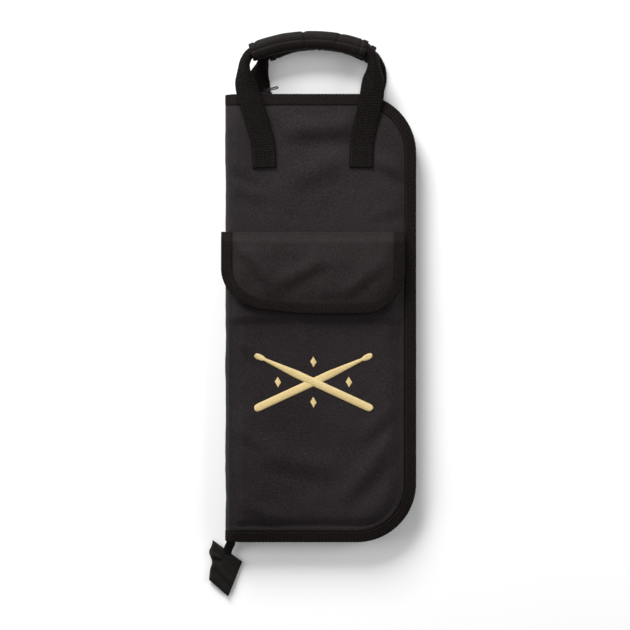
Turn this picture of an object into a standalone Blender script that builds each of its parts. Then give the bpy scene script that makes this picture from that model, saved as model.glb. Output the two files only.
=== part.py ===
"""A zipped fabric drum stick bag, lying on its back.

The bag opens like a book: a back half and a front half share a soft spine on the left (-X), and a coil
zip runs round the other three sides. The back half holds three stick sleeves. The front half carries an
outer pocket with a flap, and each half has a webbing handle with a padded grip.

Origin: centre of the back panel's flat face. +X to the zip side, +Y to the handles, +Z out of the front.
Lengths are in millimetres, and metres() scales them.
"""

import math

import bmesh
import bpy
from mathutils import Matrix, Vector

COLLECTION = "drum_stick_bag"
CLEAR = 0.3  # gap between neighbouring layers and pieces

# Panel outline: a rectangle open at the spine, with two round corners on the zip side.
SPINE_X = -99.7  # outer face of the spine
PANEL_X = 97.5  # panel edge on the zip side, inside the binding's fold
PANEL_Y = 232.8  # panel edge at the top; the bottom edge mirrors it
CORNER_R = 59.8
MID_Z = 14.0  # plane of the zip, and the spine's radius
SPINE_ANGLES = (0, 10, 30, 50, 70, 90)

# Each panel's rim turns towards the zip.
RIM_W = 28.0
RIM_DROP = 5.5
RIM_POWER = 1.4

# Layers of a panel. A depth is measured under the shell's outer face.
SHELL_T = 1.0
FOAM_T = 2.0
LINING_T = 0.8
FOAM_DEPTH = SHELL_T + CLEAR
LINING_DEPTH = FOAM_DEPTH + FOAM_T + CLEAR
FOAM_EDGE = 15.0  # the foam stops here, so that the rim can be sewn flat
FLANGE_W = 8.0  # within this distance of the edge, the lining lies on the shell

BINDING_W = 10.4
BINDING_T = 0.6
BINDING_OUT = CLEAR + BINDING_T
BINDING_DEPTH = FOAM_DEPTH + LINING_T + CLEAR + BINDING_T  # face of the binding's inner leg
TAPE_DEPTH = BINDING_DEPTH + CLEAR
TAPE_T = 0.7
TAPE_OUT = 1.7  # how far the upright part of the zip tape stands outside the panel edge
COIL_T = 2.2
COIL_H = 1.7
COIL_SPLIT = 0.7  # from the zip's plane to each coil

SLEEVE_SEAMS = (-82.0, -30.0, 22.0, 74.0)
SLEEVE_BOTTOM_Y = -209.0
SLEEVE_MOUTH_Y = 60.0
SLEEVE_TOP_Z = 21.5
SLEEVE_T = 0.8

POCKET_LEFT = -97.0
POCKET_INSET = BINDING_W + 0.5
POCKET_MOUTH_Y = 81.4
POCKET_T = 0.9
POCKET_CLEAR = 5.6
POCKET_RISE_W = 14.0  # the pocket's walls rise over this distance from its seams
POCKET_TOP_Z = 2 * MID_Z + CLEAR + POCKET_T + POCKET_CLEAR
HEM_LOW_Y = 70.0
HEM_T = 0.7

STRIP_T = 0.8
STRIP_SIZE = (84.0, 20.0)
STRIP_CENTRE = (-8.0, 34.0)

FLAP_LEFT, FLAP_RIGHT = -102.8, 85.8
FLAP_TOP, FLAP_BOTTOM = 89.8, 5.2
FLAP_R = 43.0
FLAP_SHELL_T = 0.8
FLAP_LINING_T = 0.5
FLAP_BINDING_W = 10.0
FLAP_LINING_DEPTH = FLAP_SHELL_T + CLEAR
FLAP_BINDING_DEPTH = FLAP_LINING_DEPTH + FLAP_LINING_T + BINDING_OUT
FLAP_TOP_Z = POCKET_TOP_Z + 4 * CLEAR + 2 * STRIP_T + FLAP_LINING_T + FLAP_SHELL_T
FLAP_SEAM_Z = 2 * MID_Z + FLAP_BINDING_DEPTH + CLEAR
FLAP_SEAM_W = 11.0  # the flap climbs from its seam to the pocket's height over this distance

EMBLEM_CENTRE = (-8.0, -66.6)
EMBLEM_SIZE = (130.0, 60.0)
EMBLEM_T = 0.6

WEB_W = 25.0
WEB_T = 1.6
BACK_WEB_T = 1.4
FOLDED_WEB = (9.0, 2.6)  # the webbing folded lengthwise, inside a grip
FRONT_WEB_Z = 2 * MID_Z + CLEAR + WEB_T / 2
BACK_WEB_Z = 0.1 + BACK_WEB_T / 2
WEB_END_Y = 157.0
FRONT_PIVOT_Y = 181.5
BACK_PIVOT_Y = 242.0
GRIP_HALF = (10.0, 6.5)  # half width and half thickness of a grip
GRIP_SLEEVE_T = 1.2
GRIP_FOAM_T = 2.3
FRONT_GRIP_Z = 21.9
BACK_GRIP_Z = 7.3

SLIDER = Vector((-57.5, PANEL_Y + TAPE_OUT - TAPE_T / 2, MID_Z))  # centre of its channel
SLIDER_HALF = Vector((6.0, 2.43, 4.1))
CHANNEL_HALF = (1.4, 2.8)  # round the coils, in Y and Z
SLOT_HALF_Y = 0.6  # for the tapes
PULL_Y = 238.7
PULL_TILT = 34.0
PULL_LENGTH = 13.0
PULL_HALF_W = 2.05
PULL_WIRE_R = 0.65

TAIL_PIVOT = (-92.8, -236.4, MID_Z)

PALETTE = {
    "shell_fabric": ((0.021, 0.018, 0.019), 0.72, 0.0),
    "flap_fabric": ((0.024, 0.021, 0.021), 0.72, 0.0),
    "lining_fabric": ((0.012, 0.012, 0.013), 0.55, 0.0),
    "foam": ((0.09, 0.09, 0.10), 0.95, 0.0),
    "binding_tape": ((0.012, 0.010, 0.009), 0.68, 0.0),
    "webbing": ((0.013, 0.011, 0.011), 0.62, 0.0),
    "grip_fabric": ((0.016, 0.014, 0.013), 0.60, 0.0),
    "zip_tape": ((0.011, 0.010, 0.010), 0.75, 0.0),
    "zip_coil": ((0.014, 0.013, 0.013), 0.35, 0.0),
    "slider_metal": ((0.030, 0.030, 0.032), 0.38, 0.9),
    "embroidery": ((0.70, 0.57, 0.22), 0.42, 0.0),
    "hook_and_loop": ((0.010, 0.010, 0.010), 0.90, 0.0),
}

# A point on each moving body's joint axis. Its parts hang from an empty there.
PIVOTS = {
    "back_half": (0.0, 0.0, 0.0),
    "front_half": (SPINE_X - BINDING_OUT - 0.1, 0.0, MID_Z),
    "flap": (0.0, FLAP_TOP + 0.4, FLAP_SEAM_Z + 0.3),
    "front_handle": (0.0, FRONT_PIVOT_Y, FRONT_WEB_Z + WEB_T / 2 + 0.25),
    "back_handle": (0.0, BACK_PIVOT_Y, BACK_WEB_Z + BACK_WEB_T / 2 + 0.2),
    "zip_slider": SLIDER,
    "zip_pull": (SLIDER.x, PULL_Y, MID_Z),
    "zip_tail": TAIL_PIVOT,
}

FRONT, BACK = 1, -1
UP, DOWN = Vector((0, 0, 1)), Vector((0, 0, -1))


# ---------------------------------------------------------------- helpers


def metres(point):
    return Vector(point) * 0.001


def smoothstep(t):
    t = min(max(t, 0.0), 1.0)
    return t * t * (3.0 - 2.0 * t)


def clear_scene():
    for obj in list(bpy.data.objects):
        bpy.data.objects.remove(obj, do_unlink=True)


def make_material(name):
    colour, roughness, metallic = PALETTE[name]
    material = bpy.data.materials.new(name)
    material.use_nodes = True
    shader = material.node_tree.nodes["Principled BSDF"]
    shader.inputs["Base Color"].default_value = (*colour, 1.0)
    shader.inputs["Roughness"].default_value = roughness
    shader.inputs["Metallic"].default_value = metallic
    material.diffuse_color = (*colour, 1.0)
    return material


class Bag:
    """The collections, materials and pivots that the parts use."""

    def __init__(self):
        self.parts = bpy.data.collections.new(COLLECTION)
        self.cutters = bpy.data.collections.new("cutters")
        bpy.context.scene.collection.children.link(self.parts)
        bpy.context.scene.collection.children.link(self.cutters)
        self.materials = {name: make_material(name) for name in PALETTE}
        self.pivots = {body: self.make_pivot(body) for body in PIVOTS}

    def make_pivot(self, body):
        pivot = bpy.data.objects.new(f"{body}_pivot", None)
        pivot.empty_display_size = 0.02
        pivot.location = metres(PIVOTS[body])
        self.parts.objects.link(pivot)
        return pivot

    def add(self, name, mesh, body, material):
        """Makes a part of a mesh given in place, and hangs it from its body's pivot."""
        mesh.transform(Matrix.Translation(-metres(PIVOTS[body])))
        mesh.materials.clear()
        mesh.materials.append(self.materials[material])
        obj = bpy.data.objects.new(name, mesh)
        obj.parent = self.pivots[body]
        self.parts.objects.link(obj)
        return obj

    def add_sheet(self, name, mesh, thickness, body, material):
        """A part from an open sheet, thickened away from the side that its faces look to."""
        obj = self.add(name, mesh, body, material)
        modifier = obj.modifiers.new("thickness", "SOLIDIFY")
        modifier.thickness = thickness * 0.001
        modifier.offset = -1.0
        return obj

    def add_cutter(self, name, mesh):
        obj = bpy.data.objects.new(name, mesh)
        obj.hide_render = True
        obj.display_type = "WIRE"
        self.cutters.objects.link(obj)
        return obj

    def cut(self, obj, name, mesh):
        boolean(obj, self.add_cutter(name, mesh), "DIFFERENCE")

    def join(self, obj, name, mesh):
        boolean(obj, self.add_cutter(name, mesh), "UNION")


def boolean(obj, other, operation):
    modifier = obj.modifiers.new(other.name, "BOOLEAN")
    modifier.operation = operation
    modifier.object = other


def finished_mesh(name, bm):
    mesh = bpy.data.meshes.new(name)
    bm.to_mesh(mesh)
    bm.free()
    return mesh


def box_mesh(name, low, high):
    low, high = metres(low), metres(high)
    bm = bmesh.new()
    bmesh.ops.create_cube(bm, size=1.0)
    bmesh.ops.scale(bm, vec=high - low, verts=bm.verts)
    bmesh.ops.translate(bm, vec=(low + high) / 2, verts=bm.verts)
    return finished_mesh(name, bm)


def centred_box(name, centre, half):
    centre, half = Vector(centre), Vector(half)
    return box_mesh(name, centre - half, centre + half)


def sheet_mesh(name, rows, looks, ladder=False, tube=False):
    """An open sheet through rows of points. Its furthest face in the direction looks faces that way.

    ladder also joins the first half of the last row to its second half, which fills the sheet's middle.
    tube joins each row's ends.
    """
    bm = bmesh.new()
    grid = [[bm.verts.new(metres(p)) for p in row] for row in rows]
    for row, after in zip(grid, grid[1:]):
        for k in range(len(row) if tube else len(row) - 1):
            n = (k + 1) % len(row)
            bm.faces.new((row[k], row[n], after[n], after[k]))
    if ladder:
        inner = grid[-1]
        last = len(inner) - 1
        for k in range(len(inner) // 2 - 1):
            bm.faces.new((inner[k], inner[k + 1], inner[last - k - 1], inner[last - k]))
    bmesh.ops.recalc_face_normals(bm, faces=bm.faces)
    bm.normal_update()
    furthest = max(bm.faces, key=lambda face: face.calc_center_median().dot(looks))
    if furthest.normal.dot(looks) < 0:
        bmesh.ops.reverse_faces(bm, faces=bm.faces)
    mesh = finished_mesh(name, bm)
    mesh.shade_smooth()
    return mesh


def loft_mesh(name, rings):
    """A closed solid through rings of equally many points, with filled ends."""
    bm = bmesh.new()
    rings = [[bm.verts.new(metres(p)) for p in ring] for ring in rings]
    for ring, after in zip(rings, rings[1:]):
        for k in range(len(ring)):
            n = (k + 1) % len(ring)
            bm.faces.new((ring[k], ring[n], after[n], after[k]))
    bm.faces.new(rings[0])
    bm.faces.new(rings[-1])
    bmesh.ops.recalc_face_normals(bm, faces=bm.faces)
    return finished_mesh(name, bm)


def curve_as_mesh(curve):
    """The mesh of a curve, with its caps welded on."""
    holder = bpy.data.objects.new(curve.name, curve)
    bpy.context.scene.collection.objects.link(holder)
    graph = bpy.context.evaluated_depsgraph_get()
    mesh = bpy.data.meshes.new_from_object(holder.evaluated_get(graph))
    bpy.data.objects.remove(holder, do_unlink=True)
    bm = bmesh.new()
    bm.from_mesh(mesh)
    bmesh.ops.remove_doubles(bm, verts=bm.verts, dist=1e-6)
    bm.to_mesh(mesh)
    bm.free()
    return mesh


def poly_curve(name, points):
    """A closed curve with straight pieces through the points."""
    curve = bpy.data.curves.new(name, "CURVE")
    spline = curve.splines.new("POLY")
    spline.points.add(len(points) - 1)
    for place, point in zip(spline.points, points):
        place.co = (*metres(point), 1.0)
    spline.use_cyclic_u = True
    return curve


def smooth_path(knots, steps):
    """A Catmull-Rom curve through the knots, with steps pieces between each two."""
    knots = [Vector(k) for k in knots]
    ends = [2 * knots[0] - knots[1], *knots, 2 * knots[-1] - knots[-2]]
    path = []
    for a, b, c, d in zip(ends, ends[1:], ends[2:], ends[3:]):
        for t in (i / steps for i in range(steps)):
            square, cube = t * t, t * t * t
            bend = (c - a) * t + (2 * a - 5 * b + 4 * c - d) * square + (3 * b - a - 3 * c + d) * cube
            path.append(b + bend / 2)
    return [*path, knots[-1]]


def directions_at(path, k):
    """The directions across a path, level, and up from it, at its point k."""
    along = (path[min(k + 1, len(path) - 1)] - path[max(k - 1, 0)]).normalized()
    across = along.cross(UP).normalized()
    return across, across.cross(along).normalized()


# ---------------------------------------------------------------- outlines and heights


def u_outline(half_width, depth, radius, arc_steps, side_stops):
    """A U as (a, b, inward a, inward b): a across its mouth, b into it, with both its bottom corners round.

    side_stops are the values of b on its straight sides, from the mouth inwards.
    """
    side = [(half_width, b, -1.0, 0.0) for b in side_stops]
    for step in range(arc_steps + 1):
        angle = math.radians(90) * step / arc_steps
        a, b = math.cos(angle), math.sin(angle)
        side.append((half_width - radius + radius * a, depth - radius + radius * b, -a, -b))
    return side + [(-a, b, -na, nb) for a, b, na, nb in reversed(side)]


def panel_stations():
    """The panel's outline, from the spine's top to its bottom: (angle round the spine, x, y, inward x, inward y)."""
    at_spine = len(SPINE_ANGLES)
    outline = u_outline(PANEL_Y, PANEL_X - SPINE_X, CORNER_R, 7, [MID_Z] * at_spine)
    round_spine = [math.radians(a) for a in SPINE_ANGLES]
    angles = round_spine + [math.radians(90)] * (len(outline) - 2 * at_spine) + round_spine[::-1]
    return [(angle, SPINE_X + b, a, nb, na) for angle, (a, b, na, nb) in zip(angles, outline)]


STATIONS = panel_stations()


def rim_drop(d):
    """How far the panel has turned towards the zip, at distance d inside its edge."""
    return RIM_DROP * (1.0 - min(max(d, 0.0), RIM_W) / RIM_W) ** RIM_POWER


def panel_point(station, side, d, depth):
    """The point at distance d inside the edge and the given depth under the shell's outer face."""
    angle, x, y, inward_x, inward_y = station
    reach = MID_Z - depth
    rise = CLEAR + (reach - CLEAR - rim_drop(d)) * math.sin(angle)
    return (x + inward_x * d - reach * math.cos(angle), y + inward_y * d, MID_Z + side * rise)


def edge_distance(x, y):
    """How far a point lies inside the panel's edge."""
    beyond_x, beyond_y = x - (PANEL_X - CORNER_R), abs(y) - (PANEL_Y - CORNER_R)
    if beyond_x > 0 and beyond_y > 0:
        return CORNER_R - math.hypot(beyond_x, beyond_y)
    return min(PANEL_X - x, PANEL_Y - abs(y))


def lining_depth(d):
    return FOAM_DEPTH + (LINING_DEPTH - FOAM_DEPTH) * smoothstep((d - FLANGE_W) / (FOAM_EDGE - 1.0 - FLANGE_W))


def shell_height(x, y, out=0.0):
    """How far from the zip's plane a point is that lies out from the shell's outer face."""
    before_flat = max(SPINE_X + MID_Z - x, 0.0)
    arch = math.sqrt(max(1.0 - (before_flat / (MID_Z + out)) ** 2, 0.0))
    return CLEAR + (MID_Z + out - CLEAR - rim_drop(edge_distance(x, y))) * arch


# ---------------------------------------------------------------- panels and zip


def build_layer(bag, name, side, rings, thickness, body, material):
    """One layer of a half, from rings of (distance inside the edge, depth)."""
    rows = [[panel_point(s, side, d, depth) for s in STATIONS] for d, depth in rings]
    mesh = sheet_mesh(name, rows, UP * side, ladder=True)
    return bag.add_sheet(name, mesh, thickness, body, material)


def folded_section(outer_w, inner_w, depth):
    """A binding's section, as (distance inside the edge, depth): outer leg, turn and inner leg."""
    turn = 0.2
    return [
        (outer_w, -BINDING_OUT),
        (outer_w / 2, -BINDING_OUT),
        (-turn, -BINDING_OUT),
        (-BINDING_OUT, turn - BINDING_OUT + 0.4),
        (-BINDING_OUT, depth - turn - 0.4),
        (-turn, depth),
        (outer_w / 2, depth),
        (inner_w, depth),
    ]


def build_binding(bag, name, side, body):
    """A tape folded round the edge of a half: outer leg, turn and inner leg."""
    section = folded_section(BINDING_W, BINDING_W - 2.8, BINDING_DEPTH)
    rows = [[panel_point(s, side, d, depth) for s in STATIONS] for d, depth in section]
    bag.add_sheet(name, sheet_mesh(name, rows, UP * side), BINDING_T, body, "binding_tape")


def build_zip_tape(bag, name, side, body):
    """A tape sewn flat under the binding's inner leg, and turned up outside the edge towards the coil."""
    end = MID_Z - RIM_DROP - (COIL_SPLIT + COIL_H + CLEAR)
    section = [
        (7.0, TAPE_DEPTH),
        (0.4, TAPE_DEPTH),
        (-TAPE_OUT + 0.5, TAPE_DEPTH + 0.2),
        (-TAPE_OUT, TAPE_DEPTH + 0.9),
        (-TAPE_OUT, end),
    ]
    rows = [[panel_point(s, side, d, depth) for s in STATIONS] for d, depth in section]
    bag.add_sheet(name, sheet_mesh(name, rows, UP * side), TAPE_T, body, "zip_tape")


def build_zip_coil(bag, name, side, start_x, body):
    """Half of the chain, from start_x on the top edge round to the spine's bottom end."""
    straight = [s[1:] for s in STATIONS[len(SPINE_ANGLES) : -len(SPINE_ANGLES)]]
    stations = [(start_x, *straight[0][1:]), *straight, (SPINE_X + MID_Z, *straight[-1][1:])]
    centre = -(TAPE_OUT - TAPE_T / 2)
    low, high = COIL_SPLIT, COIL_SPLIT + COIL_H
    section = [
        (centre - COIL_T / 2, low + 0.4),
        (centre - 0.5, low),
        (centre + 0.5, low),
        (centre + COIL_T / 2, low + 0.4),
        (centre + COIL_T / 2, high - 0.4),
        (centre + 0.5, high),
        (centre - 0.5, high),
        (centre - COIL_T / 2, high - 0.4),
    ]
    rings = [
        [(x + nx * d, y + ny * d, MID_Z + side * rise) for d, rise in section] for x, y, nx, ny in stations
    ]
    bag.add(name, loft_mesh(name, rings), body, "zip_coil")


def build_zip_stop(bag, name, side, body):
    centre = (SLIDER.x - SLIDER_HALF.x - 2.0, SLIDER.y, MID_Z + side * (COIL_SPLIT + COIL_H / 2))
    bag.add(name, centred_box(name, centre, (1.1, COIL_T / 2, COIL_H / 2)), body, "slider_metal")


def build_half(bag, half, side, coil_start_x):
    body = f"{half}_half"
    shell_rings = [(d, 0.0) for d in (0.0, 5.2, 10.6, 18.0, RIM_W)]
    foam_rings = [(d, FOAM_DEPTH) for d in (FOAM_EDGE, 20.5, RIM_W)]
    lining_rings = [(d, lining_depth(d)) for d in (0.0, 8.0, 11.0, 14.0, 20.0, RIM_W)]
    shell = build_layer(bag, f"{half}_shell", side, shell_rings, SHELL_T, body, "shell_fabric")
    foam = build_layer(bag, f"{half}_foam", side, foam_rings, FOAM_T, body, "foam")
    build_layer(bag, f"{half}_lining", side, lining_rings, LINING_T, body, "lining_fabric")
    build_binding(bag, f"{half}_binding", side, body)
    build_zip_tape(bag, f"zip_tape_{half}", side, body)
    build_zip_coil(bag, f"zip_coil_{half}", side, coil_start_x, body)
    build_zip_stop(bag, f"zip_stop_{half}", side, body)
    return shell, foam


# ---------------------------------------------------------------- stick sleeves


def sleeve_columns():
    """(x, share of the sleeve's height) across the three sleeves. They touch the lining only at the seams."""
    columns = [(SLEEVE_SEAMS[0], 0.0)]
    for left, right in zip(SLEEVE_SEAMS, SLEEVE_SEAMS[1:]):
        rise = ((1.0, 0.0), (2.0, 0.4), (3.2, 0.85), (5.4, 1.0))
        columns += [(left + dx, share) for dx, share in rise]
        columns += [(right - dx, share) for dx, share in reversed(rise)]
        columns.append((right, 0.0))
    return columns


def sleeve_point(x, y, share):
    seam_z = MID_Z - shell_height(x, y) + LINING_DEPTH + LINING_T + CLEAR + SLEEVE_T
    return Vector((x, y, seam_z + share * (SLEEVE_TOP_Z - seam_z)))


def moved_out(profile, distance):
    """A profile in an XZ plane, each of its pieces moved out by the distance."""
    ends = [2 * profile[0] - profile[1], *profile, 2 * profile[-1] - profile[-2]]
    normals = [Vector((a.z - b.z, 0.0, b.x - a.x)).normalized() for a, b in zip(ends, ends[1:])]
    return [p + (m + n) * distance / (1 + m.dot(n)) for p, m, n in zip(profile, normals, normals[1:])]


def build_sleeves(bag):
    rows = [
        [sleeve_point(x, y, share * lift) for x, share in sleeve_columns()]
        for y, lift in ((SLEEVE_BOTTOM_Y, 0.0), (SLEEVE_BOTTOM_Y + 6.0, 1.0), (SLEEVE_MOUTH_Y, 1.0))
    ]
    mesh = sheet_mesh("stick_sleeves", rows, UP)
    bag.add_sheet("stick_sleeves", mesh, SLEEVE_T, "back_half", "lining_fabric")
    build_sleeve_binding(bag)


def build_sleeve_binding(bag):
    """A tape folded over the sleeves' mouth. It stays on top of the sheet and turns over its edge."""
    mouth = SLEEVE_MOUTH_Y + BINDING_OUT
    over, under = BINDING_OUT, -SLEEVE_T
    section = ((SLEEVE_MOUTH_Y - 8.0, over), (mouth - 0.7, over), (mouth, 0.2), (mouth, under))
    profiles = [[sleeve_point(x, y, share) for x, share in sleeve_columns()] for y, _ in section]
    rows = [moved_out(profile, out) for profile, (_, out) in zip(profiles, section)]
    mesh = sheet_mesh("sleeve_binding", rows, UP)
    bag.add_sheet("sleeve_binding", mesh, BINDING_T, "back_half", "binding_tape")


# ---------------------------------------------------------------- pocket


def pocket_lift(x, y):
    """From 0 on the pocket's three seams to 1 in its middle."""
    inside = min(x - POCKET_LEFT, edge_distance(x, y) - POCKET_INSET)
    return smoothstep(inside / POCKET_RISE_W)


def pocket_point(x, y, down=0.0):
    top = MID_Z + shell_height(x, y, CLEAR + POCKET_T)
    return (x, y, top + POCKET_CLEAR * pocket_lift(x, y) - down)


def pocket_columns():
    """(x, y of the bottom seam) across the pocket. Past the corner's centre they follow its arc."""
    radius = CORNER_R - POCKET_INSET
    corner_x, corner_y = PANEL_X - CORNER_R, PANEL_Y - CORNER_R
    straight = [POCKET_LEFT + dx for dx in (0.0, 3.5, 7.0, 10.5, POCKET_RISE_W, 70.0)]
    columns = [(x, -corner_y - radius) for x in straight]
    for step in range(7):
        angle = math.radians(90) * step / 6
        columns.append((corner_x + radius * math.sin(angle), -corner_y - radius * math.cos(angle)))
    return columns


def build_pocket(bag):
    columns = pocket_columns()
    rows = [[pocket_point(x, seam + dy) for x, seam in columns] for dy in (0.0, 4.0, 9.0, POCKET_RISE_W)]
    rows += [[pocket_point(x, y) for x, _ in columns] for y in (-120.0, HEM_LOW_Y, POCKET_MOUTH_Y)]
    bag.add_sheet("pocket", sheet_mesh("pocket", rows, UP), POCKET_T, "front_half", "shell_fabric")

    under = POCKET_T + CLEAR
    spread = [x for x, _ in columns if 8.0 < x - POCKET_LEFT and pocket_lift(x, 0.0) > 0.4]
    hem = [[pocket_point(x, y, under) for x in spread] for y in (HEM_LOW_Y, POCKET_MOUTH_Y)]
    bag.add_sheet("pocket_hem", sheet_mesh("pocket_hem", hem, UP), HEM_T, "front_half", "shell_fabric")

    build_strip(bag, "pocket_loop_strip", POCKET_TOP_Z + CLEAR, "front_half")
    build_emblem(bag)


def build_strip(bag, name, low_z, body):
    centre = (*STRIP_CENTRE, low_z + STRIP_T / 2)
    half = (STRIP_SIZE[0] / 2, STRIP_SIZE[1] / 2, STRIP_T / 2)
    bag.add(name, centred_box(name, centre, half), body, "hook_and_loop")


def stick_outline(length):
    """Half widths along a drum stick, from its butt to its bead: (distance, half width)."""
    taper = length - 22.0
    return (
        (0.0, 1.6),
        (1.6, 3.6),
        (5.0, 4.2),
        (taper - 26.0, 4.2),
        (length - 12.0, 1.7),
        (length - 8.5, 3.0),
        (length - 4.0, 3.2),
        (length - 1.0, 2.2),
        (length, 0.8),
    )


def crossed_stick(name, angle):
    """One stick of the emblem, centred on it and turned by angle."""
    length = math.hypot(EMBLEM_SIZE[0], EMBLEM_SIZE[1]) - 8.0
    edge = [(s - length / 2, w) for s, w in stick_outline(length)]
    around = edge + [(s, -w) for s, w in reversed(edge)]
    turn = Matrix.Rotation(angle, 3, "Z")
    centre = Vector((*EMBLEM_CENTRE, POCKET_TOP_Z + CLEAR + EMBLEM_T / 2))
    curve = poly_curve(name, [turn @ Vector((s, w, 0.0)) + centre for s, w in around])
    curve.dimensions = "2D"
    curve.fill_mode = "BOTH"
    curve.extrude = EMBLEM_T / 2 * 0.001
    for point in curve.splines[0].points:
        point.co.z = 0.0
    mesh = curve_as_mesh(curve)
    mesh.transform(Matrix.Translation(metres((0.0, 0.0, centre.z))))
    return mesh


def build_emblem(bag):
    """Embroidery on the pocket: two crossed drum sticks."""
    lean = math.atan2(EMBLEM_SIZE[1], EMBLEM_SIZE[0])
    emblem = bag.add("emblem", crossed_stick("emblem", lean), "front_half", "embroidery")
    bag.join(emblem, "emblem_second_stick", crossed_stick("emblem_second_stick", math.pi - lean))


# ---------------------------------------------------------------- flap


def flap_point(x, y, depth):
    """A point of the flap at the given depth under its outer face."""
    share = min(max((FLAP_TOP - y) / FLAP_SEAM_W, 0.0), 1.0)
    left_droop = 3.6 * smoothstep((FLAP_LEFT + 21.0 - x) / 21.0)
    right_droop = 2.4 * smoothstep((x - FLAP_RIGHT + 20.0) / 20.0)
    rise = FLAP_TOP_Z - left_droop - right_droop - FLAP_SEAM_Z
    slope = rise * 6 * share * (1 - share) / FLAP_SEAM_W
    return (x, y, FLAP_SEAM_Z + rise * smoothstep(share) - depth * math.hypot(1.0, slope))


def flap_rows(section):
    middle_x = (FLAP_LEFT + FLAP_RIGHT) / 2
    side_stops = (0.0, FLAP_SEAM_W * 0.35, FLAP_SEAM_W * 0.7, FLAP_SEAM_W)
    outline = u_outline((FLAP_RIGHT - FLAP_LEFT) / 2, FLAP_TOP - FLAP_BOTTOM, FLAP_R, 6, side_stops)
    return [
        [flap_point(middle_x + a + na * d, FLAP_TOP - b - nb * d, depth) for a, b, na, nb in outline]
        for d, depth in section
    ]


def build_flap(bag):
    for name, depth, thickness, material in (
        ("flap_shell", 0.0, FLAP_SHELL_T, "flap_fabric"),
        ("flap_lining", FLAP_LINING_DEPTH, FLAP_LINING_T, "lining_fabric"),
    ):
        rows = flap_rows([(d, depth) for d in (0.0, FLAP_BINDING_W / 2, FLAP_BINDING_W, 19.0, 32.0)])
        bag.add_sheet(name, sheet_mesh(name, rows, UP, ladder=True), thickness, "flap", material)

    section = folded_section(FLAP_BINDING_W, FLAP_BINDING_W, FLAP_BINDING_DEPTH)
    mesh = sheet_mesh("flap_binding", flap_rows(section), UP)
    bag.add_sheet("flap_binding", mesh, BINDING_T, "flap", "binding_tape")
    build_strip(bag, "flap_hook_strip", POCKET_TOP_Z + 2 * CLEAR + STRIP_T, "flap")


# ---------------------------------------------------------------- handles

# Centre lines of each handle, as (x, y, z, width of the webbing, its thickness). The grip covers the
# stretch between the two lists, where the webbing is folded lengthwise.
FOLD = FOLDED_WEB
FRONT_LEFT = (
    (-60.7, FRONT_PIVOT_Y + 0.9, FRONT_WEB_Z, WEB_W, WEB_T),
    (-65.0, 199.0, FRONT_WEB_Z, WEB_W, WEB_T),
    (-73.5, 226.0, FRONT_WEB_Z - 0.3, WEB_W, WEB_T),
    (-79.0, 247.0, 26.8, 21.0, WEB_T),
    (-80.6, 261.0, 24.2, 14.0, 2.2),
    (-78.6, 270.5, 22.6, *FOLD),
)
FRONT_RIGHT = (
    (52.6, 275.0, 22.2, *FOLD),
    (54.6, 266.0, 23.4, 13.0, 2.4),
    (53.8, 250.0, 26.6, 20.0, WEB_T),
    (51.6, 226.8, FRONT_WEB_Z - 0.3, WEB_W, WEB_T),
    (45.7, 199.0, FRONT_WEB_Z, WEB_W, WEB_T),
    (42.6, FRONT_PIVOT_Y + 0.9, FRONT_WEB_Z, WEB_W, WEB_T),
)
FRONT_ARCH = ((-72.6, 277.8), (-45.0, 286.0), (-13.0, 289.6), (18.0, 287.6), (46.2, 280.6))

BACK_LEFT = (
    (-65.8, BACK_PIVOT_Y + 0.9, BACK_WEB_Z, 24.0, BACK_WEB_T),
    (-64.0, 252.0, 1.8, 20.0, BACK_WEB_T),
    (-61.6, 263.0, 4.6, 15.0, 2.0),
    (-59.6, 271.0, 6.8, *FOLD),
)
BACK_RIGHT = (
    (57.4, 267.6, 6.8, *FOLD),
    (58.0, 260.0, 4.6, 14.0, 2.0),
    (56.4, 252.0, 1.9, 20.0, BACK_WEB_T),
    (54.4, BACK_PIVOT_Y + 0.9, BACK_WEB_Z, 24.0, BACK_WEB_T),
)
BACK_ARCH = ((-54.4, 276.0), (-32.0, 284.0), (-2.0, 286.6), (28.0, 282.0), (53.4, 272.2))


def band_mesh(name, knots, steps):
    """A flat band along a curve through the knots: (x, y, z, width, thickness). Its ends are cut along X."""
    path = smooth_path(knots, steps)
    centres = [p.to_3d() for p in path]
    rings = []
    for k, (centre, knot) in enumerate(zip(centres, path)):
        across, up = directions_at(centres, k)
        if k in (0, len(path) - 1):
            across, up = Vector((math.copysign(1.0, across.x), 0.0, 0.0)), UP
        side, top = across * knot[3] / 2, up * knot[4] / 2
        rings.append([centre + side + top, centre - side + top, centre - side - top, centre + side - top])
    return loft_mesh(name, rings)


def oval_rows(path, half_width, half_thickness, sides):
    round_it = [(math.cos(2 * math.pi * s / sides), math.sin(2 * math.pi * s / sides)) for s in range(sides)]
    rows = []
    for k, centre in enumerate(path):
        across, up = directions_at(path, k)
        rows.append([centre + across * half_width * c + up * half_thickness * s for c, s in round_it])
    return rows


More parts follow.
